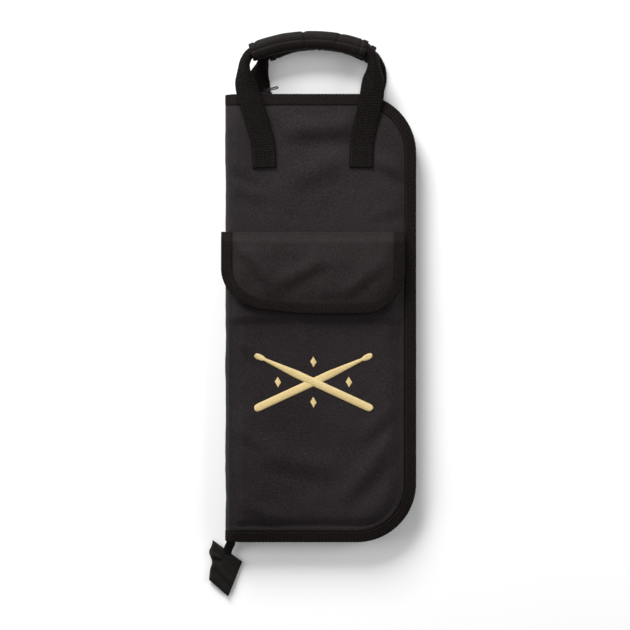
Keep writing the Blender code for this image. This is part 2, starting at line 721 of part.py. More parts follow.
def build_handle(bag, half, left, right, arch, grip_z):
    """A webbing loop through a padded grip."""
    body = f"{half}_handle"
    folded = [(x, y, grip_z, *FOLD) for x, y in arch]
    name = f"{half}_handle_webbing"
    bag.add(name, band_mesh(name, [*left, *folded, *right], 3), body, "webbing")

    path = smooth_path([(x, y, grip_z) for x, y in arch], 3)
    sleeve_rows = oval_rows(path, *GRIP_HALF, 12)
    sleeve = sheet_mesh(f"{half}_grip_sleeve", sleeve_rows, UP, tube=True)
    bag.add_sheet(f"{half}_grip_sleeve", sleeve, GRIP_SLEEVE_T, body, "grip_fabric")

    inset = GRIP_SLEEVE_T + CLEAR
    foam_rows = oval_rows(path, GRIP_HALF[0] - inset, GRIP_HALF[1] - inset, 12)
    foam = sheet_mesh(f"{half}_grip_foam", foam_rows, UP, tube=True)
    bag.add_sheet(f"{half}_grip_foam", foam, GRIP_FOAM_T, body, "foam")


def build_web_end(bag, name, knots, body):
    """A sewn end of a handle's webbing."""
    bag.add(name, band_mesh(name, knots, 1), body, "webbing")


def build_handles(bag, back_shell, back_foam):
    build_handle(bag, "front", FRONT_LEFT, FRONT_RIGHT, FRONT_ARCH, FRONT_GRIP_Z)
    build_handle(bag, "back", BACK_LEFT, BACK_RIGHT, BACK_ARCH, BACK_GRIP_Z)
    for end, low_x, high_x in (("left", -59.3, -60.5), ("right", 41.8, 42.4)):
        flat = (FRONT_WEB_Z, WEB_W, WEB_T)
        knots = ((low_x, WEB_END_Y, *flat), (high_x, FRONT_PIVOT_Y - 0.6, *flat))
        build_web_end(bag, f"front_webbing_end_{end}", knots, "front_half")
    for end, low_x, high_x in (("left", -62.0, -66.0), ("right", 48.0, 54.2)):
        flat = (BACK_WEB_Z, 24.0, BACK_WEB_T)
        knots = ((low_x, WEB_END_Y, *flat), (high_x, BACK_PIVOT_Y - 0.6, *flat))
        build_web_end(bag, f"back_webbing_end_{end}", knots, "back_half")
        recess = ((low_x, WEB_END_Y - 2.0, 0.0, 27.0, 3.6), (high_x, PANEL_Y + 6.0, 0.0, 27.0, 3.6))
        cutter = bag.add_cutter(f"recess_{end}", band_mesh(f"recess_{end}", recess, 1))
        boolean(back_shell, cutter, "DIFFERENCE")
        boolean(back_foam, cutter, "DIFFERENCE")


# ---------------------------------------------------------------- slider, pull and tail


def pull_directions():
    """The pull's direction away from the slider, and across it. It lies twisted in the slider's bail."""
    along = Vector((0.97, 0.24, 0.0)).normalized()
    tilt = math.radians(PULL_TILT)
    across = Vector((0.0, -math.sin(tilt), math.cos(tilt)))
    return along, (across - across.dot(along) * along).normalized()


def build_slider(bag):
    """Two plates joined by a post at the nose, open at the sides for the tapes, with a bail for the pull."""
    slider = bag.add("zip_slider", centred_box("zip_slider", SLIDER, SLIDER_HALF), "zip_slider", "slider_metal")
    long = 2 * SLIDER_HALF.x
    bag.cut(slider, "chain_channel", centred_box("chain_channel", SLIDER, (long, *CHANNEL_HALF)))
    bag.cut(slider, "tape_slot", centred_box("tape_slot", SLIDER, (long, SLOT_HALF_Y, 2 * SLIDER_HALF.z)))
    post = SLIDER - Vector((SLIDER_HALF.x - 1.6, 0, 0))
    bag.join(slider, "nose_post", centred_box("nose_post", post, (1.5, SLIDER_HALF.y - 0.3, COIL_SPLIT - 0.25)))
    face = SLIDER.y + SLIDER_HALF.y
    low, high = face - 0.5, PULL_Y + 1.75
    bail = box_mesh("bail", (SLIDER.x - 2.6, low, MID_Z - 0.45), (SLIDER.x + 2.6, high, MID_Z + 0.45))
    bag.join(slider, "bail", bail)
    eye = box_mesh("bail_eye", (SLIDER.x - 1.7, face + 0.4, 0.0), (SLIDER.x + 1.7, high - 0.55, 2 * MID_Z))
    bag.cut(slider, "bail_eye", eye)


def build_pull(bag):
    """A wire loop through the slider's bail."""
    along, across = pull_directions()
    base = Vector((SLIDER.x - 0.4, PULL_Y, MID_Z)) + along * PULL_HALF_W
    tip = base + along * (PULL_LENGTH - 2 * PULL_HALF_W)
    half_turn = [math.radians(a) for a in range(-90, 91, 30)]
    points = [tip + PULL_HALF_W * (along * math.cos(a) + across * math.sin(a)) for a in half_turn]
    points += [base - PULL_HALF_W * (along * math.cos(a) + across * math.sin(a)) for a in half_turn]
    curve = poly_curve("zip_pull", points)
    curve.dimensions = "3D"
    curve.bevel_depth = PULL_WIRE_R * 0.001
    curve.bevel_resolution = 2
    mesh = curve_as_mesh(curve)
    mesh.shade_smooth()
    bag.add("zip_pull", mesh, "zip_pull", "slider_metal")


def build_tail(bag):
    """The ends of the zip tapes, gathered past the bag's corner and wrapped in a folded fabric tab."""
    neck = (
        (-92.8, -236.9, 13.2, 11.0, 1.8),
        (-93.6, -239.4, 10.4, 12.0, 1.8),
        (-96.2, -243.6, 7.0, 12.0, 1.8),
    )
    bag.add("zip_tail_tape", band_mesh("zip_tail_tape", neck, 3), "zip_tail", "zip_tape")
    corners = [(-112.0, -232.6), (-82.1, -255.1), (-88.0, -272.0)]
    corners += [(-96.3, -290.3), (-107.0, -281.0), (-115.9, -273.1)]
    middle = Vector((-98.5, -262.5, 0.0))
    rings = []
    for z, size in ((0.6, 0.93), (1.8, 1.0), (4.4, 1.0), (5.6, 0.93)):
        rings.append([middle + (Vector((x, y, 0.0)) - middle) * size + UP * z for x, y in corners])
    bag.add("zip_tail_tab", loft_mesh("zip_tail_tab", rings), "zip_tail", "shell_fabric")


def main():
    clear_scene()
    bag = Bag()
    back_shell, back_foam = build_half(bag, "back", BACK, SLIDER.x - SLIDER_HALF.x - 0.6)
    build_half(bag, "front", FRONT, SLIDER.x + SLIDER_HALF.x + 0.6)
    build_sleeves(bag)
    build_pocket(bag)
    build_flap(bag)
    build_handles(bag, back_shell, back_foam)
    build_slider(bag)
    build_pull(bag)
    build_tail(bag)


main()
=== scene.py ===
"""A black zipped drum stick bag on a pale floor: cloth, webbing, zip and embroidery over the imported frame.

Lengths are in millimetres in the CAD's frame, and MM scales them as each mesh is made.
"""

from math import atan2, copysign, cos, degrees, exp, hypot, pi, radians, sin, sqrt

import bmesh
import bpy
import numpy as np
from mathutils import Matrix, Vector, noise
from mathutils.bvhtree import BVHTree


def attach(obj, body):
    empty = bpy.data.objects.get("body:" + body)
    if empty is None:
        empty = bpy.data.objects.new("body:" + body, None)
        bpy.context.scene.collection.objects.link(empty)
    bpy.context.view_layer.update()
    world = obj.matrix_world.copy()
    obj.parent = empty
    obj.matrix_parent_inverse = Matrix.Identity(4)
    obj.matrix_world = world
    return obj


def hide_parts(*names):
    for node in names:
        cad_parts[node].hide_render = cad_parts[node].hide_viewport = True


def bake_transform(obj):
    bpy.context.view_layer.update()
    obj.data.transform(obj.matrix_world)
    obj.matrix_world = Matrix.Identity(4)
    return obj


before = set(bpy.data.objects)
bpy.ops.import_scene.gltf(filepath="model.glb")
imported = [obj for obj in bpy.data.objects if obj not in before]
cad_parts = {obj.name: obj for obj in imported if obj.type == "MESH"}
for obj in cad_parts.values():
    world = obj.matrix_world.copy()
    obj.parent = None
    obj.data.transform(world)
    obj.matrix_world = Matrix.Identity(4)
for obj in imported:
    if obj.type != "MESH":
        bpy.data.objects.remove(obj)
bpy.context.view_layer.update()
MM = 0.001
UP, DOWN = (0, 0, 1), (0, 0, -1)

# The panels' outline and layers, as in the CAD.
SPINE_X, PANEL_X, PANEL_Y, CORNER_R, MID_Z = -99.7, 97.5, 232.8, 59.8, 14.0
RIM_W, RIM_DROP, RIM_POWER = 28.0, 5.5, 1.4
BINDING_W, BINDING_OUT, BINDING_DEPTH = 10.4, 0.9, 3.0
POCKET_LEFT, POCKET_INSET, POCKET_MOUTH_Y, POCKET_LIFT, POCKET_WALL = -97.0, 10.9, 81.4, 5.6, 14.0
FLAP_LEFT, FLAP_RIGHT, FLAP_TOP, FLAP_BOTTOM, FLAP_R = -102.8, 85.8, 89.8, 5.2, 43.0
FLAP_SEAM_Z, FLAP_TOP_Z, FLAP_SEAM_W, FLAP_BINDING_W = 30.8, 38.9, 11.0, 10.0
SLEEVE_SEAMS, SLEEVE_BASE, SLEEVE_TOP = (-82.0, -30.0, 22.0, 74.0), 5.6, 21.0


def smoothstep(t):
    t = np.clip(t, 0.0, 1.0)
    return t * t * (3.0 - 2.0 * t)


def ease(t):
    """Smoothstep of one number."""
    return float(smoothstep(t))


def bell(offset, width):
    """1 at no offset, falling to nothing a few widths away."""
    return exp(-((offset / width) ** 2))


# ---------------- camera, floor and light


def build_studio():
    scene = bpy.context.scene
    camera = bpy.data.objects.new("camera", bpy.data.cameras.new("camera"))
    scene.collection.objects.link(camera)
    distance, picture_width, sensor = 2.6, 0.6565, 36.0
    camera.location = (-0.0064, 0.0032, 0.03 + distance)
    camera.data.sensor_width = sensor
    camera.data.lens = sensor * distance / picture_width
    scene.camera = camera

    floor = bpy.data.objects.new("floor", bpy.data.meshes.new("floor"))
    corners = [(x, y, -0.0004) for x, y in ((-4, -4), (4, -4), (4, 4), (-4, 4))]
    floor.data.from_pydata(corners, [], [(0, 1, 2, 3)])
    scene.collection.objects.link(floor)
    n = Shader("floor_paper")
    n.base(n.mix(n.noise(3.0, 2.0), (0.90, 0.90, 0.90), (0.93, 0.93, 0.93)), 0.85)
    floor.data.materials.append(n.material)

    world = bpy.data.worlds.new("studio")
    world.use_nodes = True
    background = world.node_tree.nodes["Background"].inputs
    background["Color"].default_value = (1.0, 1.0, 1.0, 1.0)
    background["Strength"].default_value = 0.26
    scene.world = world
    for name, place, size, power in (
        ("key", (-0.8, 2.1, 1.35), 1.2, 92.0),
        ("left", (-1.6, 0.1, 1.1), 1.1, 13.0),
        ("right", (1.6, 0.1, 1.1), 1.1, 13.0),
    ):
        light = bpy.data.lights.new(name, "AREA")
        light.size, light.energy = size, power
        lamp = bpy.data.objects.new(name, light)
        lamp.location = place
        lamp.rotation_euler = (-Vector(place)).to_track_quat("-Z", "Y").to_euler()
        scene.collection.objects.link(lamp)
    scene.view_settings.view_transform = "Standard"


# ---------------- shaders


class Shader:
    """A material's nodes, added through short calls that return sockets."""

    def __init__(self, name):
        self.material = bpy.data.materials.new(name)
        self.material.use_nodes = True
        self.nodes = self.material.node_tree.nodes
        self.links = self.material.node_tree.links
        self.bsdf = self.nodes["Principled BSDF"]

    def put(self, socket, value):
        if isinstance(value, bpy.types.NodeSocket):
            self.links.new(value, socket)
        elif isinstance(value, tuple) and len(value) == 3 and socket.type == "RGBA":
            socket.default_value = (*value, 1.0)
        else:
            socket.default_value = value

    def math(self, operation, a, b=0.0):
        node = self.nodes.new("ShaderNodeMath")
        node.operation = operation
        self.put(node.inputs[0], a)
        self.put(node.inputs[1], b)
        return node.outputs[0]

    def plus(self, a, b):
        return self.math("ADD", a, b)

    def times(self, a, b):
        return self.math("MULTIPLY", a, b)

    def wave(self, value, pitch, power=1.0):
        """Rounded threads side by side, a pitch apart."""
        return self.math("POWER", self.math("ABSOLUTE", self.signed(value, pitch)), power)

    def signed(self, value, pitch):
        return self.math("SINE", self.times(value, pi / pitch))

    def mix(self, factor, a, b):
        node = self.nodes.new("ShaderNodeMix")
        node.data_type = "RGBA"
        self.put(node.inputs["Factor"], factor)
        self.put(node.inputs["A"], a)
        self.put(node.inputs["B"], b)
        return node.outputs["Result"]

    def place(self, along_piece):
        """The point in millimetres: along and across a tape, or in the object's frame."""
        if along_piece:
            source = self.nodes.new("ShaderNodeUVMap").outputs[0]
        else:
            scale = self.nodes.new("ShaderNodeVectorMath")
            scale.operation = "SCALE"
            scale.inputs["Scale"].default_value = 1000.0
            self.links.new(self.nodes.new("ShaderNodeTexCoord").outputs["Object"], scale.inputs[0])
            source = scale.outputs[0]
        split = self.nodes.new("ShaderNodeSeparateXYZ")
        self.links.new(source, split.inputs[0])
        return split.outputs[0], split.outputs[1]

    def noise(self, scale, detail=3.0):
        node = self.nodes.new("ShaderNodeTexNoise")
        node.inputs["Scale"].default_value = scale
        node.inputs["Detail"].default_value = detail
        self.links.new(self.nodes.new("ShaderNodeTexCoord").outputs["Object"], node.inputs["Vector"])
        return node.outputs["Fac"]

    def span(self, value, low, high):
        node = self.nodes.new("ShaderNodeMapRange")
        self.put(node.inputs["Value"], value)
        node.inputs["To Min"].default_value = low
        node.inputs["To Max"].default_value = high
        return node.outputs["Result"]

    def base(self, colour, roughness, metallic=0.0, specular=0.5):
        self.put(self.bsdf.inputs["Base Color"], colour)
        self.put(self.bsdf.inputs["Roughness"], roughness)
        self.put(self.bsdf.inputs["Metallic"], metallic)
        self.put(self.bsdf.inputs["Specular IOR Level"], specular)

    def bump(self, height, distance_mm, strength=1.0):
        node = self.nodes.new("ShaderNodeBump")
        node.inputs["Strength"].default_value = strength
        node.inputs["Distance"].default_value = distance_mm * MM
        self.put(node.inputs["Height"], height)
        self.put(self.bsdf.inputs["Normal"], node.outputs[0])

    def sheen(self, weight, roughness, tint):
        self.put(self.bsdf.inputs["Sheen Weight"], weight)
        self.put(self.bsdf.inputs["Sheen Roughness"], roughness)
        self.put(self.bsdf.inputs["Sheen Tint"], (*tint, 1.0))


def plain_weave(n, u, v, pitch):
    """A plain weave's height, and 1 where the warp passes over the weft."""
    across, along = n.signed(u, pitch), n.signed(v, pitch)
    over = n.math("GREATER_THAN", n.times(across, along), 0.0)
    a, b = n.math("ABSOLUTE", across), n.math("ABSOLUTE", along)
    warp = n.times(a, n.math("POWER", b, 0.35))
    weft = n.times(n.math("POWER", a, 0.35), b)
    weft = n.times(weft, n.math("SUBTRACT", 1.0, over))
    return n.plus(n.times(warp, over), weft), over


def herringbone(n, u, v):
    """Ribs that slant one way and then the other across a tape, with fine threads between them."""
    zigzag = n.math("PINGPONG", v, 2.5)
    ribs = n.wave(n.plus(u, n.times(zigzag, 1.1)), 3.4, 1.2)
    threads = n.wave(v, 0.55, 0.6)
    return n.plus(n.times(ribs, 0.75), n.times(threads, 0.25))


def webbing_ribs(n, u, v):
    """Crosswise ribs in columns that are half a rib out of step."""
    column = n.math("FLOOR", n.times(v, 1 / 5.0))
    step = n.plus(u, n.times(column, 0.82))
    ribs = n.wave(step, 1.65, 3.4)
    edges = n.wave(v, 5.0, 0.12)
    return n.times(ribs, edges)


def cloth_shader(
    name, dark, light, roughness, weave, bump_mm, along_piece=False, sheen=0.05, pitch=0.85, specular=0.16
):
    """A woven cloth: threads from the weave, uneven dye, a little lint and a soft sheen."""
    n = Shader(name)
    u, v = n.place(along_piece)
    if weave is plain_weave:
        height, over = plain_weave(n, u, v, pitch)
        threads = n.plus(n.times(height, 0.45), n.times(over, 0.4))
    else:
        height = weave(n, u, v)
        threads = n.times(height, 0.95)
    uneven = n.span(n.noise(9.0, 4.0), -0.3, 0.3)
    slubs = n.span(n.noise(640.0, 2.0), -0.62, 0.62)
    share = n.plus(threads, n.plus(uneven, slubs))
    rough = n.plus(roughness, n.span(n.noise(70.0), -0.08, 0.08))
    n.base(n.mix(share, dark, light), rough, specular=specular)
    soft = n.times(n.noise(420.0, 2.0), 0.35)
    n.bump(n.plus(height, soft), bump_mm)
    n.sheen(sheen, 0.45, (0.75, 0.76, 0.80))
    return n.material


def thread_shader(name, dark, light, roughness, sheen=0.0, specular=0.6):
    """Twisted thread: fine strands along the piece and small changes of shade from stitch to stitch."""
    n = Shader(name)
    u, v = n.place(True)
    strands = n.wave(n.plus(u, n.times(v, 1.4)), 0.35, 0.7)
    share = n.plus(n.times(strands, 0.5), n.span(n.noise(900.0, 2.0), -0.1, 0.6))
    n.base(n.mix(share, dark, light), roughness, specular=specular)
    n.bump(strands, 0.05, 0.7)
    n.sheen(sheen, 0.3, (1.0, 0.95, 0.8))
    return n.material


def coil_shader():
    n = Shader("nylon_coil")
    colour = n.mix(n.noise(700.0), (0.010, 0.009, 0.009), (0.036, 0.034, 0.033))
    n.base(colour, n.span(n.noise(160.0), 0.36, 0.52), specular=0.3)
    n.bump(n.noise(1500.0), 0.03, 0.5)
    return n.material


def metal_shader():
    """Black lacquer over zinc, worn a little lighter where it is handled."""
    n = Shader("lacquered_zinc")
    wear = n.math("POWER", n.noise(240.0, 5.0), 3.0)
    colour = n.mix(wear, (0.004, 0.004, 0.0045), (0.05, 0.05, 0.053))
    n.base(colour, n.span(n.noise(500.0), 0.42, 0.58), metallic=0.1, specular=0.2)
    n.bump(n.noise(1800.0, 4.0), 0.02, 0.4)
    return n.material


def pile_shader():
    """Hooks and loops: a dense, short, uneven pile."""
    n = Shader("hook_and_loop")
    pile = n.noise(1400.0, 5.0)
    n.base(n.mix(pile, (0.006, 0.006, 0.006), (0.03, 0.03, 0.031)), 0.9, specular=0.15)
    n.bump(pile, 0.5)
    n.sheen(0.5, 0.6, (0.8, 0.8, 0.8))
    return n.material


def make_materials():
    """Every surface by a short name. The cloths' dark and light threads are in thousandths of full white."""
    shell, lining, tab = {"sheen": 0.02, "specular": 0.10}, {"pitch": 0.45}, {"specular": 0.10}
    tape = {"along_piece": True, "sheen": 0.0, "specular": 0.035}
    grip = {"along_piece": True, "sheen": 0.01, "pitch": 0.40, "specular": 0.10}
    knit = {"along_piece": True, "sheen": 0.0, "pitch": 0.5, "specular": 0.08}
    cloths = (
        ("shell", "polyester_shell", (3.5, 2.3, 2.5), (32.5, 25.6, 27.2), 0.58, plain_weave, 0.14, shell),
        ("pocket", "polyester_pocket", (3.2, 2.0, 2.2), (31.0, 23.8, 25.2), 0.58, plain_weave, 0.14, shell),
        ("flap", "polyester_flap", (3.0, 1.9, 2.0), (30.0, 23.0, 23.6), 0.56, plain_weave, 0.14, shell),
        ("lining", "nylon_lining", (4.0, 4.0, 4.5), (21.0, 21.0, 23.0), 0.48, plain_weave, 0.05, lining),
        ("binding", "edge_tape", (0.2, 0.1, 0.1), (16.0, 12.0, 11.1), 0.64, herringbone, 0.25, tape),
        ("webbing", "ribbed_webbing", (0.1, 0.1, 0.1), (22.5, 18.0, 16.5), 0.60, webbing_ribs, 0.45, tape),
        ("grip", "grip_nylon", (1.6, 0.9, 0.6), (11.8, 8.4, 7.0), 0.50, plain_weave, 0.06, grip),
        ("tape", "zip_tape_knit", (1.0, 0.8, 0.8), (12.0, 10.5, 10.2), 0.70, plain_weave, 0.10, knit),
        ("tab", "polyester_tab", (2.0, 1.2, 1.1), (16.0, 11.8, 11.2), 0.58, plain_weave, 0.12, tab),
    )
    black = (0.004, 0.003, 0.003), (0.027, 0.0228, 0.022)
    gold = (0.33, 0.215, 0.06), (0.90, 0.73, 0.36)
    materials = {
        "thread": thread_shader("black_thread", *black, 0.55, specular=0.12),
        "gold": thread_shader("gold_thread", *gold, 0.32, sheen=0.25),
        "coil": coil_shader(),
        "metal": metal_shader(),
        "pile": pile_shader(),
    }
    for key, name, dark, light, roughness, weave, bump_mm, extra in cloths:
        threads = [tuple(c / 1000 for c in colour) for colour in (dark, light)]
        materials[key] = cloth_shader(name, *threads, roughness, weave, bump_mm, **extra)
    return materials


# ---------------- mesh helpers


def mesh_object(name, points, faces, uv, material):
    """A smooth mesh from points in millimetres. uv has a pair for each corner of each face."""
    mesh = bpy.data.meshes.new(name)
    mesh.from_pydata((np.asarray(points, float) * MM).tolist(), [], faces)
    layer = mesh.uv_layers.new(name="run")
    layer.data.foreach_set("uv", np.asarray(uv, np.float32).ravel())
    mesh.shade_smooth()
    mesh.materials.append(MATERIALS[material])
    obj = bpy.data.objects.new(name, mesh)
    bpy.context.scene.collection.objects.link(obj)
    return obj


def edit_mesh(obj, change):
    bm = bmesh.new()
    bm.from_mesh(obj.data)
    change(bm)
    bm.to_mesh(obj.data)
    bm.free()
    return obj


def outward(bm):
    bmesh.ops.recalc_face_normals(bm, faces=bm.faces)


def run_along(points):
    """The distance along a line, at each of its points."""
    return np.concatenate([[0], np.cumsum(np.linalg.norm(np.diff(points, axis=0), axis=1))])


def grid(name, points, material, looks=None, closed=False, caps=False):
    """A mesh through a grid of points. looks is the way that its first row of faces faces."""
    points = np.asarray(points, float)
    rows, cols = points.shape[:2]
    wrapped = np.concatenate([points, points[:, :1]], axis=1) if closed else points
    steps = np.linalg.norm(np.diff(wrapped, axis=1), axis=2)
    across = np.concatenate([np.zeros((rows, 1)), np.cumsum(steps, axis=1)], axis=1)
    runs = np.linalg.norm(np.diff(wrapped, axis=0), axis=2)
    along = np.concatenate([np.zeros((1, wrapped.shape[1])), np.cumsum(runs, axis=0)], axis=0)
    across = np.broadcast_to(across.mean(0), across.shape)
    along = np.broadcast_to(along.mean(1)[:, None], along.shape)
    faces, uv = [], []
    for i in range(rows - 1):
        for j in range(cols if closed else cols - 1):
            n = (j + 1) % cols
            faces.append((i * cols + j, i * cols + n, (i + 1) * cols + n, (i + 1) * cols + j))
            for r, c in ((i, j), (i, j + 1), (i + 1, j + 1), (i + 1, j)):
                uv.append((along[r, c], across[r, c]))
    if caps:
        for ring in (range(cols), range((rows - 1) * cols, rows * cols)):
            faces.append(tuple(ring))
            uv += [(0.0, 0.0)] * cols
    obj = mesh_object(name, points.reshape(-1, 3), faces, uv, material)
    if looks is None:
        return edit_mesh(obj, outward)

    def turn(bm):
        bm.faces.ensure_lookup_table()
        bm.normal_update()
        first = bm.faces[: cols - 1]
        if sum(f.normal.dot(Vector(looks)) * f.calc_area() for f in first) < 0:
            bmesh.ops.reverse_faces(bm, faces=bm.faces)

    return edit_mesh(obj, turn)


def thicken(obj, thickness_mm):
    modifier = obj.modifiers.new("thickness", "SOLIDIFY")
    modifier.thickness = thickness_mm * MM
    modifier.offset = -1.0


def spline(knots, steps):
    """A Catmull-Rom curve through the knots."""
    knots = np.asarray(knots, float)
    ends = np.vstack([2 * knots[0] - knots[1], knots, 2 * knots[-1] - knots[-2]])
    path = []
    for a, b, c, d in zip(ends, ends[1:], ends[2:], ends[3:]):
        for t in np.arange(steps) / steps:
            bend = (c - a) * t + (2 * a - 5 * b + 4 * c - d) * t**2 + (3 * b - a - 3 * c + d) * t**3
            path.append(b + bend / 2)
    path.append(knots[-1])
    return np.array(path)


def frames_along(path):
    """For each point of a path: the direction across it, level, and the direction up from it."""
    along = np.gradient(np.asarray(path, float), axis=0)
    along /= np.linalg.norm(along, axis=1)[:, None]
    across = np.cross(along, UP)
    across[np.linalg.norm(across, axis=1) < 1e-3] = (1.0, 0.0, 0.0)
    across /= np.linalg.norm(across, axis=1)[:, None]
    return across, np.cross(across, along)


def tubes(name, paths, radius, sides, material, flatten=1.0):
    """Many short tubes in one mesh, such as stitches, with their ends closed to a point."""
    points, faces, uv = [], [], []
    for path in paths:
        path = np.asarray(path, float)
        side, top = frames_along(path)
        start = len(points)
        last = len(path) - 1
        for k, p in enumerate(path):
            r = radius * (0.35 if k in (0, last) else 1.0)
            for s in range(sides):
                a = 2 * pi * s / sides
                points.append(p + side[k] * cos(a) * r + top[k] * sin(a) * r * flatten)
        length = run_along(path)
        for k in range(last):
            for s in range(sides):
                n = (s + 1) % sides
                a, b = start + k * sides, start + (k + 1) * sides
                faces.append((a + s, b + s, b + n, a + n))
                w = 2 * pi * radius / sides
                near, far = length[k], length[k + 1]
                uv += [(near, s * w), (far, s * w), (far, (s + 1) * w), (near, (s + 1) * w)]
        faces.append(tuple(start + s for s in range(sides)))
        faces.append(tuple(start + last * sides + s for s in reversed(range(sides))))
        uv += [(0.0, 0.0)] * (2 * sides)
    return edit_mesh(mesh_object(name, points, faces, uv, material), outward)


def stitch_paths(line, pitch=3.4, length=2.5, lift=0.12):
    """Stitches along a line of points: each dips into the cloth at both ends."""
    line = np.asarray(line, float)
    run = run_along(line)
    paths = []
    for s in np.arange(pitch / 2, run[-1] - length, pitch):
        at = s + length * np.array([0.0, 0.2, 0.5, 0.8, 1.0])
        p = np.stack([np.interp(at, run, line[:, k]) for k in range(3)], axis=1)
        p[:, 2] += np.array([-0.25, 0.6, 1.0, 0.6, -0.25]) * lift
        paths.append(p)
    return paths


def stitches(name, lines, body, slot="binding_tape", radius=0.26, **how):
    paths = [p for line in lines for p in stitch_paths(line, **how)]
    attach(tubes(name, paths, radius, 6, "thread"), body)


def surface_of(obj):
    """A finder of the height of an object's top face under a point, in millimetres."""
    tree = BVHTree.FromObject(obj, bpy.context.evaluated_depsgraph_get())

    def height(x, y, otherwise=0.0):
        hit = tree.ray_cast(Vector((x * MM, y * MM, 0.2)), Vector(DOWN))[0]
        return hit.z / MM if hit else otherwise

    return height


def laid_on(height, line, otherwise):
    """The line's points, just above a surface."""
    return [(p[0], p[1], height(p[0], p[1], otherwise) + 0.05) for p in line]


def ripple(x, y, scale, seed):
    """Smooth noise from -1 to 1."""
    return noise.noise(Vector((x / scale, y / scale, seed)))


def crease(x, y, start, end, width, depth):
    """A fold between two points: the cloth is low below the line and high above it."""
    dx, dy = end[0] - start[0], end[1] - start[1]
    length = hypot(dx, dy)
    along = ((x - start[0]) * dx + (y - start[1]) * dy) / length**2
    off = abs(dx) / dx * ((y - start[1]) * dx - (x - start[0]) * dy) / length / width
    fade = ease((along + 0.25) / 0.5) * ease((1.25 - along) / 0.5)
    return 2.3 * depth * fade * (off * 1.2 + 0.25) * exp(-off * off)


# ---------------- cloth simulation


def relax(obj, pinned, frames, grow, pressure, down, up, aside, shape, gravity=0.0):
    """Lets a cloth cut a little large settle, held where pinned, and caps how far each point moves."""
    scene = bpy.context.scene
    start = np.array([v.co for v in obj.data.vertices])
    group = obj.vertex_groups.new(name="pinned")
    for index, weight in enumerate(pinned):
        if weight > 0.001:
            group.add([index], float(weight), "REPLACE")
    modifier = obj.modifiers.new("cloth", "CLOTH")
    cloth = modifier.settings
    cloth.quality = 6
    cloth.mass = 0.25
    cloth.tension_stiffness = cloth.compression_stiffness = 12.0
    cloth.shear_stiffness = 6.0
    cloth.bending_stiffness = 0.25
    cloth.tension_damping = cloth.compression_damping = 8.0
    cloth.vertex_group_mass = "pinned"
    cloth.shrink_min = cloth.shrink_max = -grow
    cloth.use_pressure = pressure != 0.0
    cloth.uniform_pressure_force = pressure
    cloth.effector_weights.gravity = gravity
    modifier.collision_settings.use_collision = False
    modifier.point_cache.frame_start, modifier.point_cache.frame_end = 1, frames
    for step in range(1, frames + 1):
        scene.frame_set(step)
    settled = obj.evaluated_get(bpy.context.evaluated_depsgraph_get())
    moved = np.array([v.co for v in settled.data.vertices]) - start
    scene.frame_set(1)
    obj.modifiers.remove(modifier)
    obj.vertex_groups.remove(group)
    limit = np.asarray(shape)
    moved[:, :2] = np.clip(moved[:, :2], -aside * MM, aside * MM) * limit[:, None]
    low, high = -down * MM, up * MM
    middle, half = (low + high) / 2, (high - low) / 2
    moved[:, 2] = (middle + half * np.tanh((moved[:, 2] - middle) / half)) * limit
    obj.data.vertices.foreach_set("co", (start + moved).ravel())
    obj.data.update()


# ---------------- the two halves


def edge_distance(x, y):
    """How far inside the panel's outline a point is. The spine's side isn't counted."""
    beyond_x, beyond_y = x - (PANEL_X - CORNER_R), abs(y) - (PANEL_Y - CORNER_R)
    if beyond_x > 0 and beyond_y > 0:
        return CORNER_R - hypot(beyond_x, beyond_y)
    return min(PANEL_X - x, PANEL_Y - abs(y))


def rim_drop(d):
    """How much thinner each half is at a distance in from its edge."""
    return RIM_DROP * (1.0 - min(max(d, 0.0), RIM_W) / RIM_W) ** RIM_POWER


def row_stops(straight_step, radius=CORNER_R, top=None):
    """Values of y from the bottom edge to the top, with the right end of the outline's chord at each.

    top is where a straight top edge is. Without it the top corner is round, like the bottom one.
    """
    corner_y, corner_x = PANEL_Y - CORNER_R, PANEL_X - CORNER_R
    angles = np.radians(np.arange(0, 91, 5))
    turn = [(corner_y + radius * sin(a), corner_x + radius * cos(a)) for a in angles]
    end = corner_y if top is None else top
    count = int((end + corner_y) / straight_step)
    rows = [(-y, x) for y, x in reversed(turn)]
    rows += [(y, corner_x + radius) for y in np.linspace(-corner_y, end, count)[1:-1]]
    return rows + (turn if top is None else [(top, corner_x + radius)])


# Each fold's start, end, width and depth.
FRONT_CREASES = (
    ((-32, 189), (40, 193), 12.0, 2.3),
    ((92, 140), (58, 162), 8.0, 2.0),
    ((-98, 160), (-70, 143), 7.0, 1.0),
    ((-97, 133), (-58, 121), 7.5, 0.8),
    ((56, 104), (95, 112), 8.0, 0.7),
    ((-26, 138), (24, 158), 14.0, 1.3),
    ((-34, 222), (6, 214), 6.0, 0.7),
)
# The middles of the front handle's two straps, at four heights up the panel.
FRONT_STRAP_Y = (156, 181, 199, 227)
FRONT_STRAP_X = ((-59.2, -60.5, -65.0, -73.5), (41.6, 42.4, 45.7, 51.6))
# From this height up, the sewn straps hold the cloth flat or press into it.
PRESSED_FROM_Y = 150.0


def front_folds(x, y):
    """How far the front panel's cloth stands above its smooth shape."""
    folds = sum(crease(x, y, *fold) for fold in FRONT_CREASES)
    folds += 1.1 * ripple(x, y, 38, 1.7) + 0.45 * ripple(x, y, 17, 4.2)
    above_pocket = 0.15 + 0.85 * ease((y - 90.0) / 14.0)
    folds *= ease((edge_distance(x, y) - BINDING_W) / 9.0) * above_pocket
    for centres in FRONT_STRAP_X:
        off = abs(x - np.interp(y, FRONT_STRAP_Y, centres))
        held = ease((20.0 - off) / 6.0) * ease((y - PRESSED_FROM_Y) / 5.0)
        folds -= held * max(folds - 0.1, 0.0)
    return folds


